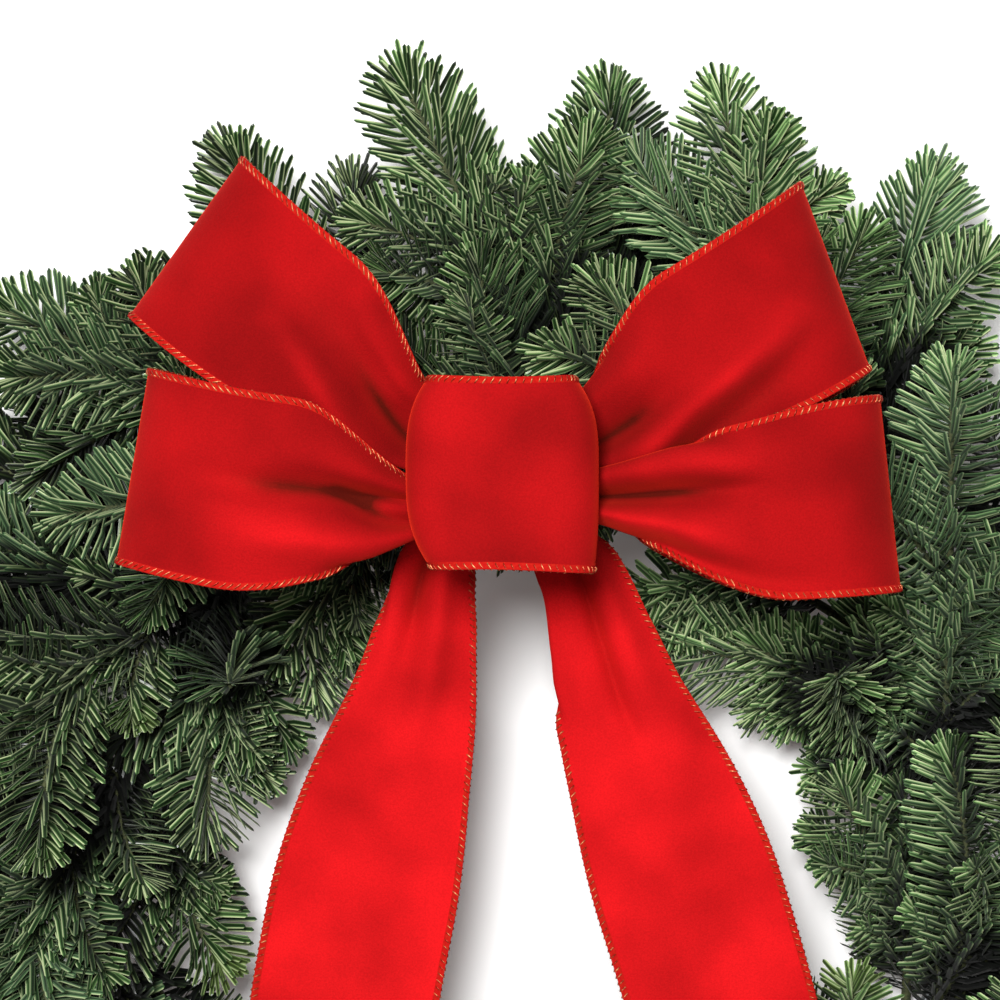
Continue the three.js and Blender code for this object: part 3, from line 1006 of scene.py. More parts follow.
@dataclass
class Spray:
    """One fir spray: a stem held in a clamp, its leader, its side twigs and all their needles."""

    bunch: int
    kind: Kind
    number: int
    cover: RibbonCover
    growth: TwigHabit = TwigHabit()
    habit: NeedleHabit = NeedleHabit()
    rng: np.random.Generator = field(init=False)

    def __post_init__(self) -> None:
        """Seeds the spray's own random numbers."""
        self.rng = np.random.default_rng(SEED + self.number)

    @property
    def node(self) -> str:
        """The name of the CAD node that the spray stands for."""
        return f"{self.kind.value}_spray_{self.bunch:02d}"

    def twigs(self) -> list[Twig]:
        """Lays out the leader, the side twigs of the solid part, and small twigs between them.

        Returns:
            The twigs, the leader first.
        """
        shape, growth, n = SHAPES[self.kind], self.growth, self.number
        by_hand = TIPS.get((self.bunch, self.kind))
        clamp = clamp_angle(self.bunch)
        held = RING_RADIUS + shape.slot[0]
        tip = by_hand or (
            shape.tip[0] + growth.tip_turn_spread * jitter(n, Draw.TURN),
            shape.tip[1] + growth.tip_reach_spread * jitter(n, Draw.REACH), shape.tip[2])
        lift = (tip[2] - shape.tip[2]) * growth.lift_share if by_hand else 0.0
        a = polar(held, clamp + np.degrees(CLAMP_WIDTH / RING_RADIUS), shape.slot[1])
        b = polar(shape.via[1], clamp + shape.via[0], shape.via[2] + lift)
        c = polar(tip[1], clamp + tip[0], tip[2])
        aimed = AIMED_LEADERS.get((self.bunch, self.kind))
        end = c + unit(c - b) * growth.beyond if aimed is None else np.array(aimed, dtype=float)
        cut = polar(held, clamp - np.degrees(CUT_END / RING_RADIUS), shape.slot[1])
        line = quadratic(a, b, end, np.linspace(0, 1, growth.leader_points))
        needles = growth.leader_needles + growth.leader_needles_spread * jitter(n, Draw.NEEDLES)
        twigs = [Twig(np.vstack([cut, polar(held, clamp, shape.slot[1]), line]),
                      STEM_HALF, 1.0, growth.leader_bare, needles, growth.density, cut=True)]
        for j, side_twig in enumerate(shape.twigs):
            share = 1 + growth.length_spread * jitter(n, Draw.TWIG_LENGTH + j)
            length = side_twig.length * share + growth.beyond
            aim = AIMED_TWIGS.get((self.bunch, self.kind, j))
            twigs.append(self.side_twig(a, b, end, side_twig, length, growth.radius, aim))
        for place, aim in EXTRA_TWIGS.get((self.bunch, self.kind), ()):
            extra = SideTwig(place, 1, 0, 0)
            twigs.append(self.side_twig(a, b, end, extra, 0, growth.radius, aim))
        usual = growth.small_inner_length if self.kind is Kind.INNER else growth.small_length
        for j, place in enumerate(np.linspace(*growth.small_between, growth.small_count)):
            place = place + growth.small_between_spread * jitter(n, Draw.SMALL_PLACE + j)
            length = usual * (1 + growth.small_length_spread * jitter(n, Draw.SMALL_LENGTH + j))
            rise = growth.small_rise + growth.small_rise_spread * jitter(n, Draw.SMALL_RISE + j)
            small = SideTwig(place, 1 if (j + n) % 2 else -1, length, rise)
            twigs.append(self.side_twig(a, b, end, small, length, growth.small_radius))
        return twigs

    def side_twig(self, a: np.ndarray, b: np.ndarray, c: np.ndarray, twig: SideTwig,
                  length: float, radius: float, aim: Point | None = None) -> Twig:
        """Returns a twig that leaves the leader at its place, forward at first, and bends aside.

        Its end is aim, or else root + length (forward along + aside side) + rise.

        Args:
            a: the leader's start.
            b: the point that the leader bends by.
            c: the leader's end.
            twig: the twig's place, side and rise.
            length: its length, where it isn't aimed.
            radius: its thickness at the tip.
            aim: where it ends, if that is given.

        Returns:
            The twig. A longer one has longer needles.
        """
        growth = self.growth
        root = quadratic(a, b, c, twig.place)
        along = heading(a, b, c, twig.place)
        side = unit(np.cross(UP, along)) * twig.turn
        end = root + along * length * growth.forward + side * length * growth.aside
        end = end + UP * twig.rise if aim is None else np.array(aim, dtype=float)
        reach = float(np.linalg.norm(end - root))
        middle = root + growth.bend[0] * reach * along + growth.bend[1] * (end - root)
        path = quadratic(root, middle, end, np.linspace(0, 1, growth.points))
        needles = mix(*growth.needles, smooth(*growth.grown, reach))
        needles = float(needles + growth.needles_spread * np.sin(7 * root[0]))
        density = growth.density * (growth.small_density if radius == growth.small_radius else 1.0)
        return Twig(path, radius * growth.taper, radius, growth.bare, needles, density)

    def needles(self, twig: Twig, twig_tint: float) -> Shell:
        """Grows the needles of one twig.

        Seen along the twig, they stand in three ranks to each side of straight up, so that
        none hangs down. A needle's middle line is root + length (t d + tt bend / 2): d leans
        away from the twig, and bend turns it forward and up. Its section is a flat triangle
        with the ridge up, and the flat sides face up as far as its line allows.

        Args:
            twig: the twig.
            twig_tint: how young the twig is, from 0 to 1.

        Returns:
            The needles' closed skins.
        """
        habit, rng = self.habit, self.rng
        reach = distances(twig.path)
        total = reach[-1]
        count = int((total - twig.bare) * twig.density)
        i = np.arange(count + habit.crown)
        crowning = i >= count
        at = twig.bare + (i + 0.5) / count * (total - twig.bare)
        at = np.where(crowning, total - habit.crown_place, at)
        at = np.clip(at + rng.normal(0, habit.place_spread, len(i)),
                     habit.clear_of_root, total - habit.clear_of_tip)
        root = read_off(at, reach, twig.path)
        along = unit(read_off(at, reach, np.gradient(twig.path, axis=0)))
        level = unit(np.cross(UP, along))
        roll = np.radians(rng.uniform(-habit.roll, habit.roll))
        side = level * np.cos(roll) + np.cross(along, level) * np.sin(roll)
        up = np.cross(along, side)
        rank = np.array(habit.ranks)[i % len(habit.ranks)]
        stands = np.radians(rank + rng.normal(0, habit.rank_spread, len(i)))
        radial = side * np.sin(stands)[:, None] + up * np.cos(stands)[:, None]
        flat = np.abs(np.sin(stands))
        near_tip = smooth(total - habit.tip_reach, total, at)
        lean = mix(*habit.lean, flat) + rng.normal(0, habit.lean_spread, len(i))
        lean = np.radians(lean - habit.tip_lean * near_tip)
        crown_lean = habit.crown_lean[0] + habit.crown_lean[1] * (
            (i - count) * habit.golden_turn % 1.0)
        lean = np.where(crowning, np.radians(crown_lean), lean)
        d = along * np.cos(lean)[:, None] + radial * np.sin(lean)[:, None]
        curl = rng.uniform(*habit.curl)
        bend = along * curl + up * (habit.rise[0] + habit.rise[1] * flat)[:, None]
        bend = bend * (1 - habit.tip_straighter * near_tip)[:, None]
        bend = bend * rng.uniform(*habit.curl_spread, (len(i), 1))
        length = habit.length * twig.needles * rng.uniform(*habit.length_spread, len(i))
        first = smooth(0, habit.first_reach, at - twig.bare)
        length = length * (1 - habit.tip_shorter * near_tip) * mix(habit.first_length, 1.0, first)
        length = np.where(crowning, length * rng.uniform(*habit.crown_spread, len(i)), length)
        t = np.array(habit.stations)
        middle = root[:, None] + radial[:, None] * habit.foot + length[:, None, None] * (
            d[:, None] * t[:, None] + bend[:, None] * (t * t)[:, None] / 2)
        middle = self.cover.press(middle)
        ahead = unit(d[:, None] + bend[:, None] * t[:, None])
        turned = side * rng.uniform(-habit.sideways, habit.sideways) + radial * habit.facing_out
        face = up[:, None] + turned[:, None] + rng.normal(0, habit.facing_spread, (len(i), 1, 3))
        # Needles on the side where x is larger are a little lighter.
        east = smooth(-habit.shade_reach, habit.shade_reach, root[:, 0])
        own = rng.uniform(0, habit.shade, len(i)) + habit.shade_east * east
        fresh = twig_tint * mix(habit.root_fresh, 1.0, near_tip)
        return self.skins(middle, ahead, face, own, fresh)

    def skins(self, middle: np.ndarray, ahead: np.ndarray, face: np.ndarray, own: np.ndarray,
              fresh: np.ndarray) -> Shell:
        """Carries a flat triangle along each needle's middle line, which its ends close.

        Args:
            middle: the points of each needle's middle line.
            ahead: the directions in which the line runs there.
            face: the directions to which the flat side is turned there.
            own: each needle's own shade.
            fresh: how young each needle is.

        Returns:
            The needles' closed skins.
        """
        habit, count = self.habit, len(middle)
        across = unit(np.cross(face, ahead))
        ridge = np.cross(ahead, across)
        profile = np.array(habit.profile)
        wide = across[:, :3] * (habit.width / 2 * profile)[:, None]
        high = ridge[:, :3] * (habit.ridge * profile)[:, None]
        rings = np.stack([middle[:, :3] + wide, middle[:, :3] + high, middle[:, :3] - wide], axis=2)
        points = np.concatenate([rings.reshape(count, 9, 3), middle[:, 3:]], axis=1)
        starts = (np.arange(count) * NEEDLE_POINTS)[:, None, None]
        tint = np.stack([np.repeat(own, NEEDLE_POINTS), np.ones(count * NEEDLE_POINTS),
                         np.repeat(fresh, NEEDLE_POINTS)], -1)
        u = np.append(np.tile([0.0, 0.5, 1.0], 3), 0.5)
        v = np.append(np.repeat(habit.stations[:3], 3), 1.0)
        return Shell(points.reshape(-1, 3), (NEEDLE_QUADS + starts).reshape(-1, 4),
                     (NEEDLE_TRIS + starts).reshape(-1, 3),
                     uv=np.tile(np.stack([u, v], -1), (count, 1)), tint=tint,
                     finish=SprayFinish.NEEDLES.value, smooth=False).outward()

    def bark(self, twig: Twig) -> Shell:
        """Wraps a twig in a tube, which narrows to its tip and swells into a bud there.

        Args:
            twig: the twig.

        Returns:
            The tube, with fresh wood on a stem's cut end.
        """
        reach = distances(twig.path)
        radius = mix(twig.root_radius, twig.tip_radius, reach / reach[-1])
        end = twig.path[-1]
        bud = unit(end - twig.path[-2])
        path = np.vstack([twig.path, *(end + bud * step for step in self.growth.bud_steps)])
        radius = np.concatenate([radius, np.array(self.growth.bud_radii) * twig.tip_radius])
        sides = self.growth.leader_sides if twig.cut else self.growth.sides
        shell = sweep(path, radius, sides)
        shell.finish = np.full(len(shell.quads) + len(shell.tris), SprayFinish.BARK.value)
        if twig.cut:
            shell.finish[len(shell.quads):len(shell.quads) + sides] = SprayFinish.CUT.value
        return shell

    def grow(self) -> list[Shell]:
        """Grows the whole spray.

        Returns:
            Its skins, needles and bark in turn.
        """
        shells = []
        young = 0.5 + 0.5 * jitter(self.number, Draw.AGE)
        for j, twig in enumerate(self.twigs()):
            own = 0.5 + 0.5 * jitter(self.number, Draw.TWIG_AGE + j)
            # A twig is mostly as young as its spray.
            shells.append(self.needles(twig, np.clip(young * 0.6 + 0.4 * own, 0, 1)))
            shells.append(self.bark(twig))
        return shells


@dataclass(frozen=True)
class Crease:
    """A fold of a gathered ribbon: a ridge, or where its height is below zero a valley.

    It runs from near to far, each a distance from the waist with a place across the ribbon
    from -1 to 1. It comes up over the distance of onset before near, from a share of its
    height, and fades out round far, from and to the shares of its run in fades.
    """

    near: tuple[float, float]
    far: tuple[float, float]
    width: float
    height: float
    onset: float = 18.0
    onset_share: float = 0.4
    fades: tuple[float, float] = (0.5, 0.25)

    def lift(self, distance: np.ndarray, v: np.ndarray) -> np.ndarray:
        """Works out height exp(-((v - line) / width)^2), faded past far and before near.

        Args:
            distance: how far points lie from the waist.
            v: where they lie across the ribbon.

        Returns:
            How high the crease lifts them.
        """
        run = self.far[0] - self.near[0]
        line = mix(self.near[1], self.far[1], np.clip((distance - self.near[0]) / run, 0, 1))
        before, after = self.fades
        fade = 1 - smooth(self.far[0] - before * run, self.far[0] + after * run, distance)
        onset = smooth(self.near[0] - self.onset, self.near[0], distance)
        fade = fade * mix(self.onset_share, 1.0, onset)
        return self.height * fade * np.exp(-((v - line) / self.width) ** 2)


@dataclass(frozen=True)
class Tuck:
    """An edge of a ribbon that is curled under, near the waist: which one, and how far out.

    It bends from the place curls_from across the ribbon, and moves aside by the share under.
    """

    side: int
    near: float
    far: float
    curls_from: float = 0.7
    wider: float = 0.3
    under: float = 0.55
    power: float = 1.5

    def share(self, distance: np.ndarray, v: np.ndarray) -> np.ndarray:
        """Returns how far a point is curled under, from 0 to 1 at the edge."""
        curled = smooth(self.curls_from, 1.0, self.side * v)
        return curled * (1 - smooth(self.near, self.far, distance))

    def shift(self, distance: np.ndarray, v: np.ndarray) -> np.ndarray:
        """Works out how far aside points move.

        The curled side is drawn wider, so that the fold lies where the edge would.

        Args:
            distance: how far the points lie from the waist.
            v: where they lie across the ribbon.

        Returns:
            Their shift, as a share of the ribbon's half-width.
        """
        tucked = 1 - smooth(self.near, self.far, distance)
        wider = self.wider * np.maximum(self.side * v, 0) * tucked
        return self.side * (wider - self.under * self.share(distance, v) ** self.power)


@dataclass(frozen=True)
class Gathered:
    """What loops and tails share: a ribbon gathered at the waist, with curled edges and creases.

    deep is the depth at which a valley's painted shade is full, and hidden is how far from
    the waist the centre loop hides the ribbon's edges.
    """

    node: str
    tucks: tuple[Tuck, ...]
    creases: tuple[Crease, ...]
    # How much lighter the pile is painted: painted light.
    painted_light: float
    deep: float
    hidden: float
    tuck_depth: float

    def lift(self, distance: np.ndarray, v: np.ndarray) -> np.ndarray:
        """Returns how high the creases lift the ribbon."""
        return sum(crease.lift(distance, v) for crease in self.creases)

    def tucked(self, distance: np.ndarray, v: np.ndarray, half: np.ndarray, aside: np.ndarray,
               z: np.ndarray) -> tuple[np.ndarray, np.ndarray]:
        """Curls the edges under.

        Args:
            distance: how far points lie from the waist.
            v: where they lie across the ribbon.
            half: half the ribbon's width there.
            aside: how far they lie from the ribbon's middle.
            z: how high they lie.

        Returns:
            How far aside and how high they lie once the edges are curled under.
        """
        for tuck in self.tucks:
            aside = aside + half * tuck.shift(distance, v)
            z = z - self.tuck_depth * tuck.share(distance, v)
        return aside, z

    def shown_from(self, edge: float) -> float:
        """Returns the distance from the waist at which an edge comes out to the front."""
        halfway = [mix(tuck.near, tuck.far, 0.5) for tuck in self.tucks if tuck.side == edge]
        return max([self.hidden] + halfway)


@dataclass(frozen=True)
class Loop(Gathered):
    """One large loop of the bow, from the waist by way of a point to its fold and back.

    Pairs are distances from the waist: between those of upper and lower each half of its
    width opens, between those of rises it comes up to its height, between those of gathers
    the gathers run out, and between those of crowns its middle starts to bulge.
    """

    start: tuple[float, float]
    via: tuple[float, float]
    fold: tuple[float, float]
    skew: float
    front: int
    upper: tuple[float, float]
    lower: tuple[float, float]
    back_shift: float
    # Painted light on crease ridges and valley slopes, and painted shade at curled edges.
    ridge_painted_light: float = 0.45
    valley_painted_light: float = 0.3
    curled_painted_shade: float = 0.7
    rises: tuple[float, float] = (12.0, 80.0)
    gathers: tuple[float, float] = (14.0, 40.0)
    gather_height: float = 2.2
    gather_waves: float = 1.5
    crowns: tuple[float, float] = (20.0, 80.0)
    crown_height: float = 2.4
    neck_height: float = 1.9
    back_from: float = 0.55

    @property
    def reach(self) -> float:
        """The distance from the waist to the fold."""
        return np.hypot(*self.fold)

    def pile(self, u: np.ndarray, v: np.ndarray) -> tuple[np.ndarray, np.ndarray]:
        """Works out the pile's painted light and painted shade at points of the surface.

        Args:
            u: where they lie along the ribbon.
            v: where they lie across it.

        Returns:
            The painted light, and the painted shade in valleys and at curled edges.
        """
        distance = (1 - np.cos(2 * np.pi * u)) / 2 * self.reach
        lift = self.lift(distance, v) / self.deep
        curled = sum(tuck.share(distance, v) for tuck in self.tucks)
        ridge, valley = np.maximum(lift, 0), np.maximum(-lift, 0)
        # Painted light: lighter on ridges, and on valley slopes.
        painted_light = self.painted_light + self.ridge_painted_light * ridge + self.valley_painted_light * valley
        # Painted shade: darkest deep in valleys and where the edges are curled under.
        return painted_light, valley**3 + self.curled_painted_shade * curled**2

    def seen(self, edge: float) -> tuple[float, float]:
        """Returns from where to where, round the loop, an edge isn't curled under."""
        start = float(np.arccos(1 - 2 * self.shown_from(edge) / self.reach) / (2 * np.pi))
        return start, 1 - start

    def surface(self, u: np.ndarray, v: np.ndarray) -> np.ndarray:
        """Works out points of the loop.

        The share of its reach is (1 - cos 2 pi u) / 2. The height is a middle, plus
        swell sin(2 pi u) sqrt(share), plus the creases and what the curled edges lose.

        Args:
            u: where the points lie round the loop, from 0 to 1.
            v: where they lie across the ribbon, from -1 to 1.

        Returns:
            The points.
        """
        turn = 2 * np.pi * u
        share = (1 - np.cos(turn)) / 2
        a, b, c = (np.array([*p, 0.0]) for p in (self.start, self.via, self.fold))
        along = heading(a, b, c, share)
        hand = 1.0 if self.fold[0] > 0 else -1.0
        across = np.stack([-along[..., 1], along[..., 0], 0 * share], -1) * hand
        distance = share * self.reach
        half = mix(WAIST_WIDTH, RIBBON_WIDTH, np.where(
            v > 0, smooth(*self.upper, distance), smooth(*self.lower, distance))) / 2
        back = self.back_shift * np.maximum(-np.sin(turn), 0) * smooth(self.back_from, 1, share)
        loose = smooth(*self.gathers, distance)
        aside, z = self.tucked(
            distance, v, half, half * v + back,
            mix(WAIST_Z, LOOP_Z, smooth(*self.rises, distance)) + self.front * INTERLEAVE * loose)
        points = quadratic(a, b, c, share) + BOW + across * aside[..., None]
        points = points + along * (self.skew * v * share * share)[..., None]
        gather = self.gather_height * (1 - loose) * np.cos(self.gather_waves * np.pi * v)
        crown = self.crown_height * smooth(*self.crowns, distance) * np.sin(turn) * (1 - v * v)
        neck = self.neck_height * np.cos(turn / 2) * (1 - share)
        swell = LOOP_SWELL * np.sin(turn) * np.sqrt(share)
        points[..., 2] = z + neck + swell + self.lift(distance, v) + gather + crown
        return points


LOOP_MAKE = {"deep": 6.5, "hidden": 22.0, "tuck_depth": 9.0}
LOOPS = (
    Loop("loop_upper_left",
         (Tuck(1, 30, 46), Tuck(-1, 40, 70)),
         (Crease((33, -0.38), (66, 0.15), 0.17, -6.8), Crease((40, -0.9), (94, 0), 0.22, 5.5),
          Crease((44, 0.45), (80, 0.6), 0.25, 3), Crease((62, 0.3), (108, 0.35), 0.28, -3.5)),
         painted_light=0.13, start=(-2.4, 6.5), via=(-44, 18), fold=(-103.2, 76), skew=5, front=-1,
         upper=(22, 86), lower=(-50, 140), back_shift=-1.5, **LOOP_MAKE),
    Loop("loop_lower_left",
         (Tuck(-1, 44, 66),),
         (Crease((34, -0.4), (58, 0.16), 0.16, -6.5), Crease((46, 0.16), (98, 0.07), 0.16, -6.8),
          Crease((36, -0.6), (94, -0.36), 0.24, 6), Crease((40, 0.55), (74, 0.5), 0.22, 3)),
         painted_light=0.2, start=(-2, -8.5), via=(-50, -17), fold=(-119.4, 1.5), skew=3, front=1,
         upper=(22, 74), lower=(8, 92), back_shift=1.5, **LOOP_MAKE),
    Loop("loop_upper_right",
         (Tuck(1, 38, 58), Tuck(-1, 50, 76)),
         (Crease((36, -0.36), (64, -0.1), 0.17, -7.5), Crease((36, -0.8), (60, -0.72), 0.2, 6),
          Crease((56, -0.55), (112, -0.1), 0.2, 5.5), Crease((62, -0.92), (112, -0.5), 0.22, -5),
          Crease((40, 0.4), (70, 0.5), 0.25, 3)),
         painted_light=0.04, start=(2.4, 6.5), via=(44, 17), fold=(108.2, 63.2), skew=8.7, front=-1,
         upper=(22, 80), lower=(-34, 136), back_shift=-3.2, **LOOP_MAKE),
    Loop("loop_lower_right",
         (Tuck(1, 56, 84), Tuck(-1, 42, 58)),
         (Crease((34, 0.12), (84, 0.18), 0.16, -8), Crease((34, 0.6), (92, 0.5), 0.26, 6),
          Crease((36, -0.4), (78, -0.46), 0.28, 8), Crease((58, -0.8), (104, -0.84), 0.16, -4)),
         painted_light=0.13, start=(2, -8.5), via=(50, -13), fold=(124.9, -7.4), skew=-1, front=1,
         upper=(0, 126), lower=(29, 96), back_shift=1.2, **LOOP_MAKE),
)


@dataclass(frozen=True)
class Tail(Gathered):
    """A tail of the bow: points of its middle line from the waist, with their height.

    Half its width is neck at the waist. It gains the first of neck_opens by the distance that
    is the second, and full by TAIL_OPEN_AT.
    """

    route: tuple[Point, ...]
    wave: float
    wave_length: float = 34.0
    wave_start: float = 0.6
    wave_middle: float = 0.6
    wave_side: float = 0.4
    neck: float = 4.5
    neck_opens: tuple[float, float] = (7.5, 26.0)
    full: float = 19.75
    crown: float = 3.0
    crown_turn: float = 5.0
    # Painted shade near the waist, and painted light on ridges.
    shade_near: float = 0.72
    shade_to: tuple[float, float] = (20.0, 110.0)
    ridge_painted_light: float = 0.1

    @property
    def length(self) -> float:
        """The length of the route, from point to point."""
        return float(distances(np.array(self.route, dtype=float))[-1])

    def line(self, share: np.ndarray) -> tuple[np.ndarray, np.ndarray]:
        """Follows the middle line, a cubic through the route with slopes from its neighbours.

        Args:
            share: how far along the line to read it, as shares of its length.

        Returns:
            The line's points and directions there.
        """
        p = np.array(self.route, dtype=float)
        knots = distances(p)
        slope = np.gradient(p, knots, axis=0)
        s = np.asarray(share) * knots[-1]
        i = np.clip(np.searchsorted(knots, s, side="right") - 1, 0, len(p) - 2)
        h = (knots[i + 1] - knots[i])[..., None]
        t = (s - knots[i])[..., None] / h
        point = ((2 * t**3 - 3 * t**2 + 1) * p[i] + (t**3 - 2 * t**2 + t) * h * slope[i]
                 + (3 * t**2 - 2 * t**3) * p[i + 1] + (t**3 - t**2) * h * slope[i + 1])
        along = ((6 * t**2 - 6 * t) * p[i] / h + (3 * t**2 - 4 * t + 1) * slope[i]
                 + (6 * t - 6 * t**2) * p[i + 1] / h + (3 * t**2 - 2 * t) * slope[i + 1])
        return point, unit(along)

    def pile(self, u: np.ndarray, v: np.ndarray) -> tuple[np.ndarray, np.ndarray]:
        """Works out the pile's painted light and painted shade at points of the surface.

        Args:
            u: where they lie along the ribbon.
            v: where they lie across it.

        Returns:
            The painted light, darker near the waist, and the painted shade in valleys.
        """
        distance = u * self.length
        lift = self.lift(distance, v) / self.deep
        # Painted light: darker near the waist, lighter on ridges; painted shade in valleys.
        painted_light = self.painted_light * mix(self.shade_near, 1.0, smooth(*self.shade_to, distance))
        return painted_light + self.ridge_painted_light * lift, np.maximum(-lift, 0) ** 2

    def seen(self, edge: float) -> tuple[float, float]:
        """Returns from where to where, as shares of its length, an edge isn't curled under."""
        return self.shown_from(edge) / self.length, 1.0

    def surface(self, u: np.ndarray, v: np.ndarray) -> np.ndarray:
        """Works out points of the tail.

        It opens to the ribbon's full width, sways by wave sin(distance / wave_length + start),
        and bulges by crown sin(turn share) (1 - vv).

        Args:
            u: where the points lie from the waist to the notched end, from 0 to 1.
            v: where they lie across the ribbon, from -1 to 1.

        Returns:
            The points.
        """
        total = self.length
        share = np.minimum(u * (1 - TAIL_NOTCH / total * (1 - np.abs(v)) * u**6), 1)
        points, along = self.line(share)
        across = unit(np.stack([-along[..., 1], along[..., 0], 0 * share], -1))
        distance = share * total
        opened = smooth(0, TAIL_OPEN_AT, distance)
        wider, by = self.neck_opens
        half = self.neck + wider * smooth(0, by, distance) + self.full * opened
        aside, z = self.tucked(distance, v, half, half * v, self.lift(distance, v))
        points = points + BOW + across * aside[..., None]
        sway = self.wave * np.sin(distance / self.wave_length + self.wave_start) * opened
        sway = sway * (self.wave_middle + self.wave_side * v)
        crown = self.crown * np.sin(self.crown_turn * share) * (1 - v * v) * opened
        points[..., 2] += z + sway + crown
        return points


# The tails are painted lighter than the loops, as painted light.
TAIL_MAKE = {"painted_light": 0.88, "deep": 6.0, "hidden": 8.0, "tuck_depth": 5.0}
TAILS = (
    Tail("tail_left",
         (Tuck(-1, 20, 60),),
         (Crease((18, -0.2), (52, -0.3), 0.17, -5.5), Crease((20, 0.25), (100, 0.1), 0.3, 4.5),
          Crease((30, -0.7), (90, -0.6), 0.25, 2.5)),
         route=((-4.5, -13.2, 87), (-21, -30, 83), (-26, -55, 79), (-30.5, -78, 77),
                (-39.5, -111, 76), (-53.5, -178, 74), (-62, -252, 71)),
         wave=1.6, **TAIL_MAKE),
    Tail("tail_right",
         (Tuck(-1, 62, 84), Tuck(1, 18, 34)),
         (Crease((24, -0.05), (92, 0.05), 0.12, -4.5), Crease((24, 0.4), (90, 0.42), 0.3, 4.5),
          Crease((40, -0.45), (84, -0.4), 0.25, 2.5)),
         route=((4.5, -13.2, 87), (25, -33, 82), (33.5, -57, 79), (39.5, -78, 77),
                (52, -111, 76), (73.5, -178, 74), (90, -248, 71)),
         wave=-1.4, **TAIL_MAKE),
)


@dataclass(frozen=True)
class CentreLoop:
    """The small loop that hides the waist, flat in front with round corners.

    left and right are its half-widths. Each narrows by a share towards the upper and the
    lower edge.
    """

    node: str = "centre_loop"
    left: float = 30.8
    right: float = 30.3
    left_narrows: tuple[float, float] = (0.24, 0.27)
    right_narrows: tuple[float, float] = (0.26, 0.05)
    depth: float = 20.0
    z: float = 131.0
    power: float = 0.8
    opening: float = 7.0
    # Painted light of the pile, more at the sides and towards the upper edge.
    painted_light: float = 0.22
    painted_light_at_sides: float = 0.25
    painted_light_upwards: float = 0.06
    flatter: float = 0.06
    dent: float = 0.8
    dent_length: float = 9.0
    waver: float = 0.012
    waver_length: float = 12.0
    slant: float = 0.025
    edge_drop: float = 2.2

    def pile(self, u: np.ndarray, v: np.ndarray) -> tuple[np.ndarray, np.ndarray]:
        """Returns the painted light, more at the sides, and no painted shade."""
        at_sides = self.painted_light_at_sides * np.sin(2 * np.pi * u) ** 2
        return self.painted_light + at_sides + self.painted_light_upwards * v, np.zeros_like(u)

    def seen(self, edge: float) -> tuple[float, float]:
        """Returns the whole length: no edge of the small loop is curled under."""
        return 0.0, 1.0

    def surface(self, u: np.ndarray, v: np.ndarray) -> np.ndarray:
        """Works out points of the small loop.

        Its section is the curve |x / half|^(2 / power) + |z / depth|^(2 / power) = 1. It
        narrows towards both edges with |v| cubed.

        Args:
            u: where the points lie round the loop from the waist, from 0 to 1.
            v: where they lie across the ribbon, from -1 to 1.

        Returns:
            The points.
        """
        turn = np.radians(mix(self.opening, 360 - self.opening, u))
        side = -np.sign(np.sin(turn))
        narrows = np.where(
            side < 0, np.where(v > 0, *self.left_narrows), np.where(v > 0, *self.right_narrows))
        half = np.where(side < 0, self.left, self.right) * (1 - narrows * np.abs(v) ** 3)
        x = half * side * np.abs(np.sin(turn)) ** self.power
        drop = np.sign(np.cos(turn)) * np.abs(np.cos(turn)) ** self.power
        front = smooth(0, 1, -np.cos(turn))
        z = self.z - self.depth * drop * (1 - self.flatter * v * v * front)
        dent = self.dent * np.sin(x / self.dent_length + 1.5 * v) * np.cos(2.2 * v + 0.4) * front
        waver = 1 - self.waver * np.cos(x / self.waver_length)
        y = v * RIBBON_WIDTH / 2 * waver - self.slant * x * (v < 0) * np.abs(v)
        y = y - self.edge_drop * np.maximum(v, 0) ** 2
        return np.stack([x, y, z + dent], -1) + BOW


Ribbon = Loop | Tail | CentreLoop
RIBBONS = (*LOOPS, *TAILS, CentreLoop())


class RibbonFinish(IntEnum):
    """The finishes of a ribbon, in the order of its materials."""

    PILE = 0
    BACK = 1
    HEM = 2


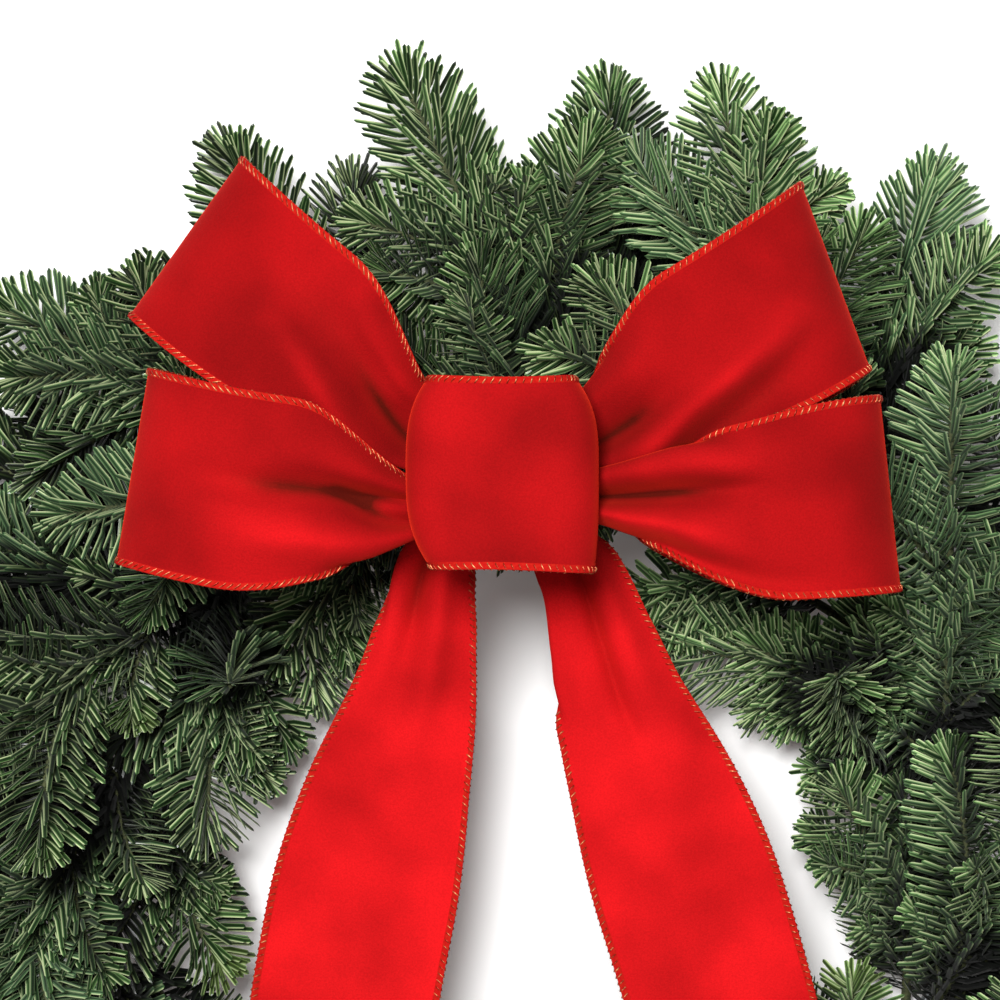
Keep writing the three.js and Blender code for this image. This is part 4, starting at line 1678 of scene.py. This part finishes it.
@dataclass
class Bow:
    """The bow: its loops, tails and centre loop, with their stitched wired edges, and its tie.

    edge_places are the places across a ribbon, from its middle at 0, where points lie on the
    hem. The hem's step and the wire's bead each rise between two places.
    """

    thickness: float = 0.9
    hem: float = 0.5
    hem_rises: tuple[float, float] = (0.92, 0.935)
    bead: float = 0.7
    bead_rises: tuple[float, float] = (0.955, 0.985)
    edge_places: tuple[float, ...] = (0.925, 0.935, 0.95, 0.965, 0.98, 0.99, 1.0)
    middle_to: float = 0.905
    middle_columns: int = 43
    loop_rows: int = 100
    other_rows: int = 76
    stitch_pitch: float = 2.35
    stitch_reach: float = 1.3
    stitch_out: float = 0.3
    stitch_slant: float = 1.1
    stitch_start: float = 1.2
    stitch_points: int = 7
    thread_radius: float = 0.28
    thread_rise: float = 0.3
    thread_sides: int = 3
    edge_samples: int = 700
    inward_from: float = 0.96
    tie_rounding: int = 3
    tie_sides: int = 8

    def sheet(self, ribbon: Ribbon, rows: int) -> tuple[Shell, float]:
        """Gives a ribbon's surface its thickness, with a hem and a wire's bead along each edge.

        Args:
            ribbon: the ribbon, whose surface is its middle.
            rows: points along it.

        Returns:
            The closed skin, with the number of each face's finish, and the ribbon's length.
        """
        edge = np.array(self.edge_places)
        places = np.linspace(-self.middle_to, self.middle_to, self.middle_columns)
        places = np.concatenate([-edge[::-1], places, edge])
        columns = len(places)
        u, v = np.meshgrid(np.linspace(0, 1, rows), places, indexing="ij")
        middle = ribbon.surface(u, v)
        normal = unit(np.cross(np.gradient(middle, axis=0), np.gradient(middle, axis=1)))
        normal = normal * (1.0 if normal[rows // 4, columns // 2, 2] > 0 else -1.0)
        size = np.abs(v)
        half = (self.thickness + self.hem * smooth(*self.hem_rises, size)
                + self.bead * smooth(*self.bead_rises, size)) / 2
        outer = middle + normal * half[..., None]
        inner = middle - normal * half[..., None]
        ring = np.concatenate([outer, inner[:, ::-1]], axis=1)
        count = 2 * columns
        quads = grid_quads(rows, count, True)
        column = np.tile(np.arange(count), rows - 1)
        finish = np.where(column < columns - 1, RibbonFinish.PILE.value, RibbonFinish.BACK.value)
        place = column % columns
        finish[(place < len(edge) - 1) | (place > columns - len(edge) - 1)] = RibbonFinish.HEM.value
        j = np.arange(columns - 1)
        cap = np.stack([j, j + 1, count - 2 - j, count - 1 - j], -1)
        quads = np.vstack([quads, cap[:, ::-1], cap + (rows - 1) * count])
        finish = np.concatenate([finish, np.full(2 * len(cap), RibbonFinish.PILE.value)])
        steps = np.linalg.norm(np.diff(middle[:, columns // 2], axis=0), axis=1)
        length = float(steps.sum())
        width = np.concatenate([v, v[:, ::-1]], axis=1) * RIBBON_WIDTH / 2
        uv = np.stack([np.concatenate([u, u], axis=1) * length, width], -1).reshape(-1, 2) * MM
        # The tint carries the pile's painted light and painted shade.
        painted_light, painted_shade = (np.concatenate([x, x[:, ::-1]], axis=1).ravel() for x in ribbon.pile(u, v))
        tint = np.stack([painted_light, painted_shade, 0 * painted_light], -1)
        return Shell(ring.reshape(-1, 3), quads, uv=uv, tint=tint, finish=finish).outward(), length

    def stitches(self, surface: Surface, edge: float, start: float, end: float) -> Shell:
        """Winds a thread round one edge of a ribbon.

        Its middle line is edge + inward (reach + reach cos a) + normal high sin a, and it runs
        ahead by -slant cos a, so that it lies slanting across the outer face.

        Args:
            surface: the ribbon's surface.
            edge: which edge, -1 or 1.
            start: where along the ribbon the thread starts.
            end: where it ends.

        Returns:
            The thread.
        """
        u = np.linspace(start, end, self.edge_samples)
        line = surface(u, np.full_like(u, edge))
        near = surface(u, np.full_like(u, edge * self.inward_from))
        reach = distances(line)
        count = int(reach[-1] / self.stitch_pitch) * self.stitch_points
        even = np.linspace(self.stitch_start, reach[-1] - self.stitch_start, count)
        a = 2 * np.pi * even / self.stitch_pitch
        s = even - self.stitch_slant * np.cos(a)
        along = unit(read_off(s, reach, np.gradient(line, axis=0)))
        inward = unit(read_off(s, reach, near - line))
        normal = unit(np.cross(along, inward)) * edge
        high = (self.thickness + self.hem + self.bead) / 2 + self.thread_radius * self.thread_rise
        aside = (self.stitch_reach - self.stitch_out) + self.stitch_reach * np.cos(a)
        path = read_off(s, reach, line) + inward * aside[:, None]
        path = path + normal * (high * np.sin(a))[:, None]
        return sweep(path, np.full(len(path), self.thread_radius), self.thread_sides)

    def build(self) -> None:
        """Builds every ribbon with its stitching, and the tie wire."""
        finishes = [RedVelvet().material(), RibbonBacking().material(), RibbonHem().material()]
        thread = EdgeThread().material()
        for ribbon in RIBBONS:
            rows = self.loop_rows if isinstance(ribbon, Loop) else self.other_rows
            shell, length = self.sheet(ribbon, rows)
            name = ribbon.node.replace("loop", "ribbon_loop").replace("tail", "ribbon_tail")
            piece = make_piece(name, [shell], finishes)
            dress(piece, "velvet", ribbon.node)
            edges = [self.stitches(ribbon.surface, edge, *ribbon.seen(edge))
                     for edge in (-1.0, 1.0)]
            sewn = make_piece(f"{name}_stitching", edges, [thread])
            dress(sewn, "velvet")
        corners = np.array([(BOW[0], y, z) for y, z in TIE], dtype=float)
        path = rounded(corners, self.tie_rounding, closed=True)
        wire = sweep(path, np.full(len(path), TIE_RADIUS), self.tie_sides, closed=True)
        tie = make_piece("florist_tie", [wire], [GreenEnamel().material()])
        dress(tie, "tie_wire", "bow_tie_wire")


@dataclass
class ClampRing:
    """The steel ring with the twelve clamps that hold the bunches."""

    wire_points: int = 108
    wire_sides: int = 10
    corner_from: float = 0.12
    rounding: float = 0.35

    def ring(self) -> Shell:
        """Bends the ring, a circle of wire.

        Returns:
            The ring.
        """
        a = np.linspace(0, 2 * np.pi, self.wire_points, endpoint=False)
        height = np.full_like(a, WIRE_Z)
        path = np.stack([RING_RADIUS * np.cos(a), RING_RADIUS * np.sin(a), height], -1)
        return sweep(path, np.full(len(path), WIRE_RADIUS), self.wire_sides, closed=True)

    def clamp(self, bunch: int) -> Shell:
        """Bends a clamp: a strip with rounded edges, carried along a path over the stems.

        Args:
            bunch: the number of the bunch that it holds.

        Returns:
            The clamp.
        """
        out = CLAMP_INSIDE + STRIP / 2
        top = CLAMP_TOP + STRIP / 2
        low = STRIP / 2
        straight = np.array([(-PRONG_GAP, top), (-out, top), (-out, low),
                             (out, low), (out, top), (PRONG_GAP, top)])
        cuts = np.linspace(self.corner_from, 1 - self.corner_from, 4)
        cuts = np.concatenate([[0.0], cuts])[:, None]
        sides = [mix(before, after, cuts) for before, after in zip(straight, straight[1:])]
        path = rounded(np.vstack([*sides, straight[-1:]]), 1)
        along = unit(np.gradient(path, axis=0))
        normal = np.stack([-along[:, 1], along[:, 0]], -1)
        w, h, r = CLAMP_WIDTH / 2, STRIP / 2, self.rounding
        section = np.array([(-w, -h + r), (-w + r, -h), (w - r, -h), (w, -h + r),
                            (w, h - r), (w - r, h), (-w + r, h), (-w, h - r)])
        flat = path[:, None] + normal[:, None] * section[None, :, 1:]
        a = np.radians(clamp_angle(bunch))
        radial = np.array([np.cos(a), np.sin(a), 0])
        tangent = np.array([-np.sin(a), np.cos(a), 0])
        points = (radial * (RING_RADIUS + flat[..., :1]) + UP * flat[..., 1:]
                  + tangent * np.broadcast_to(section[None, :, :1], flat[..., :1].shape))
        rows, count = flat.shape[:2]
        j = np.arange(1, 4)
        cap = np.stack([j - 1, j, 7 - j, 8 - j], -1)
        quads = np.vstack([grid_quads(rows, count, True), cap[:, ::-1], cap + (rows - 1) * count])
        return Shell(points.reshape(-1, 3), quads).outward()

    def build(self) -> None:
        """Builds the ring and its clamps as one piece."""
        shells = [self.ring(), *(self.clamp(bunch) for bunch in range(1, BUNCHES + 1))]
        piece = make_piece("clamp_ring", shells, [ZincSteel().material()])
        dress(piece, "galvanised_steel", "wreath_frame")


@dataclass
class Foliage:
    """All the sprays, bunch by bunch."""

    cell: float = 5.0
    open_to: float = 4.0
    dark_from: float = 34.0

    def shade(self, grown: list[list[Shell]]) -> None:
        """Tints needles by how deep they sit in the wreath: painted shade that makes them darker.

        The depth is the height of the highest needle nearby less the point's own height.

        Args:
            grown: each spray's skins, needles and bark in turn.
        """
        grid = HeightGrid(self.cell, 0.0)
        needles = [shell for shells in grown for shell in shells[::2]]
        for shell in needles:
            np.maximum.at(grid.heights, grid.squares(shell.points), shell.points[:, 2])
        near = (-1, 0, 1)
        top = sum(np.roll(grid.heights, (i, j), (0, 1)) for i in near for j in near) / 9
        for shell in needles:
            depth = top[grid.squares(shell.points)] - shell.points[:, 2]
            # Painted shade: the deeper a needle sits under the others, the darker it is painted.
            shell.tint[:, 1] = 1 - smooth(self.open_to, self.dark_from, depth)

    def build(self) -> None:
        """Builds each spray, once the ribbons that press on them are known."""
        finishes = [FirNeedles().material(), FirBark().material(), CutWood().material()]
        cover = RibbonCover()
        for ribbon in RIBBONS:
            cover.lay(ribbon.surface)
        order = [(bunch, kind) for bunch in range(1, BUNCHES + 1) for kind in Kind]
        sprays = [Spray(bunch, kind, number, cover) for number, (bunch, kind) in enumerate(order)]
        grown = [spray.grow() for spray in sprays]
        self.shade(grown)
        for spray, shells in zip(sprays, grown):
            piece = make_piece(f"fir_{spray.kind.value}_{spray.bunch:02d}", shells, finishes)
            dress(piece, "fir", spray.node)


@dataclass(frozen=True)
class Softbox:
    """A round soft lamp: its name, where it hangs, its width and its power."""

    name: str
    place: Point
    size: float
    watts: float


@dataclass
class Studio:
    """A white floor, soft light from above, and the camera of the photograph."""

    aim: tuple[float, float] = (-10.0, 135.0)
    aim_height: float = 60.0
    softboxes: tuple[Softbox, ...] = (
        Softbox("key_softbox", (-190.0, 430.0, 1500.0), 440.0, 29.8),
        Softbox("fill_softbox", (500.0, -300.0, 1500.0), 900.0, 2.6),
    )
    air: float = 0.2
    floor_side: float = 6000.0
    floor_z: float = -0.1
    height: float = 1100.0
    view_width: float = 331.0
    view_height: float = 100.0
    sensor: float = 36.0
    clip: tuple[float, float] = (0.05, 20.0)

    def floor(self) -> None:
        """Lays the white floor just under the wreath."""
        side, z = self.floor_side, self.floor_z
        points = np.array([(-side, -side, z), (side, -side, z), (side, side, z), (-side, side, z)])
        square = Shell(points, np.array([[0, 1, 2, 3]]))
        make_piece("paper_floor", [square], [WhitePaper().material()])

    def light(self, softbox: Softbox) -> None:
        """Hangs one soft lamp that shines towards the middle of the view.

        Args:
            softbox: the lamp.
        """
        lamp = bpy.data.lights.new(softbox.name, "AREA")
        lamp.shape = "DISK"
        lamp.size = softbox.size * MM
        lamp.energy = softbox.watts
        holder = bpy.data.objects.new(softbox.name, lamp)
        back = Vector(np.array(softbox.place) - np.array([*self.aim, self.aim_height]))
        holder.location = Vector(softbox.place) * MM
        holder.rotation_euler = back.to_track_quat("Z", "Y").to_euler()
        holder.visible_camera = False
        bpy.context.scene.collection.objects.link(holder)

    def camera(self) -> None:
        """Sets up the camera straight above the view, which is view_width wide at view_height."""
        camera = bpy.data.cameras.new("photograph_view")
        camera.sensor_width = self.sensor
        camera.lens = self.sensor * (self.height - self.view_height) / self.view_width
        camera.clip_start, camera.clip_end = self.clip
        holder = bpy.data.objects.new("photograph_view", camera)
        holder.location = (self.aim[0] * MM, self.aim[1] * MM, self.height * MM)
        bpy.context.scene.collection.objects.link(holder)
        bpy.context.scene.camera = holder

    def build(self) -> None:
        """Builds the floor, the lights and the camera."""
        self.floor()
        world = bpy.data.worlds.new("studio_air")
        bpy.context.scene.world = world
        world.use_nodes = True
        background = world.node_tree.nodes["Background"]
        background.inputs["Color"].default_value = (1, 1, 1, 1)
        background.inputs["Strength"].default_value = self.air
        bpy.context.scene.view_settings.view_transform = "Standard"
        for softbox in self.softboxes:
            self.light(softbox)
        self.camera()


def main() -> None:
    """Builds the studio, the bow, the ring and the foliage."""
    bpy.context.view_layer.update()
    Studio().build()
    Bow().build()
    ClampRing().build()
    Foliage().build()
    bpy.context.view_layer.update()


if __name__ == "__main__":
    main()
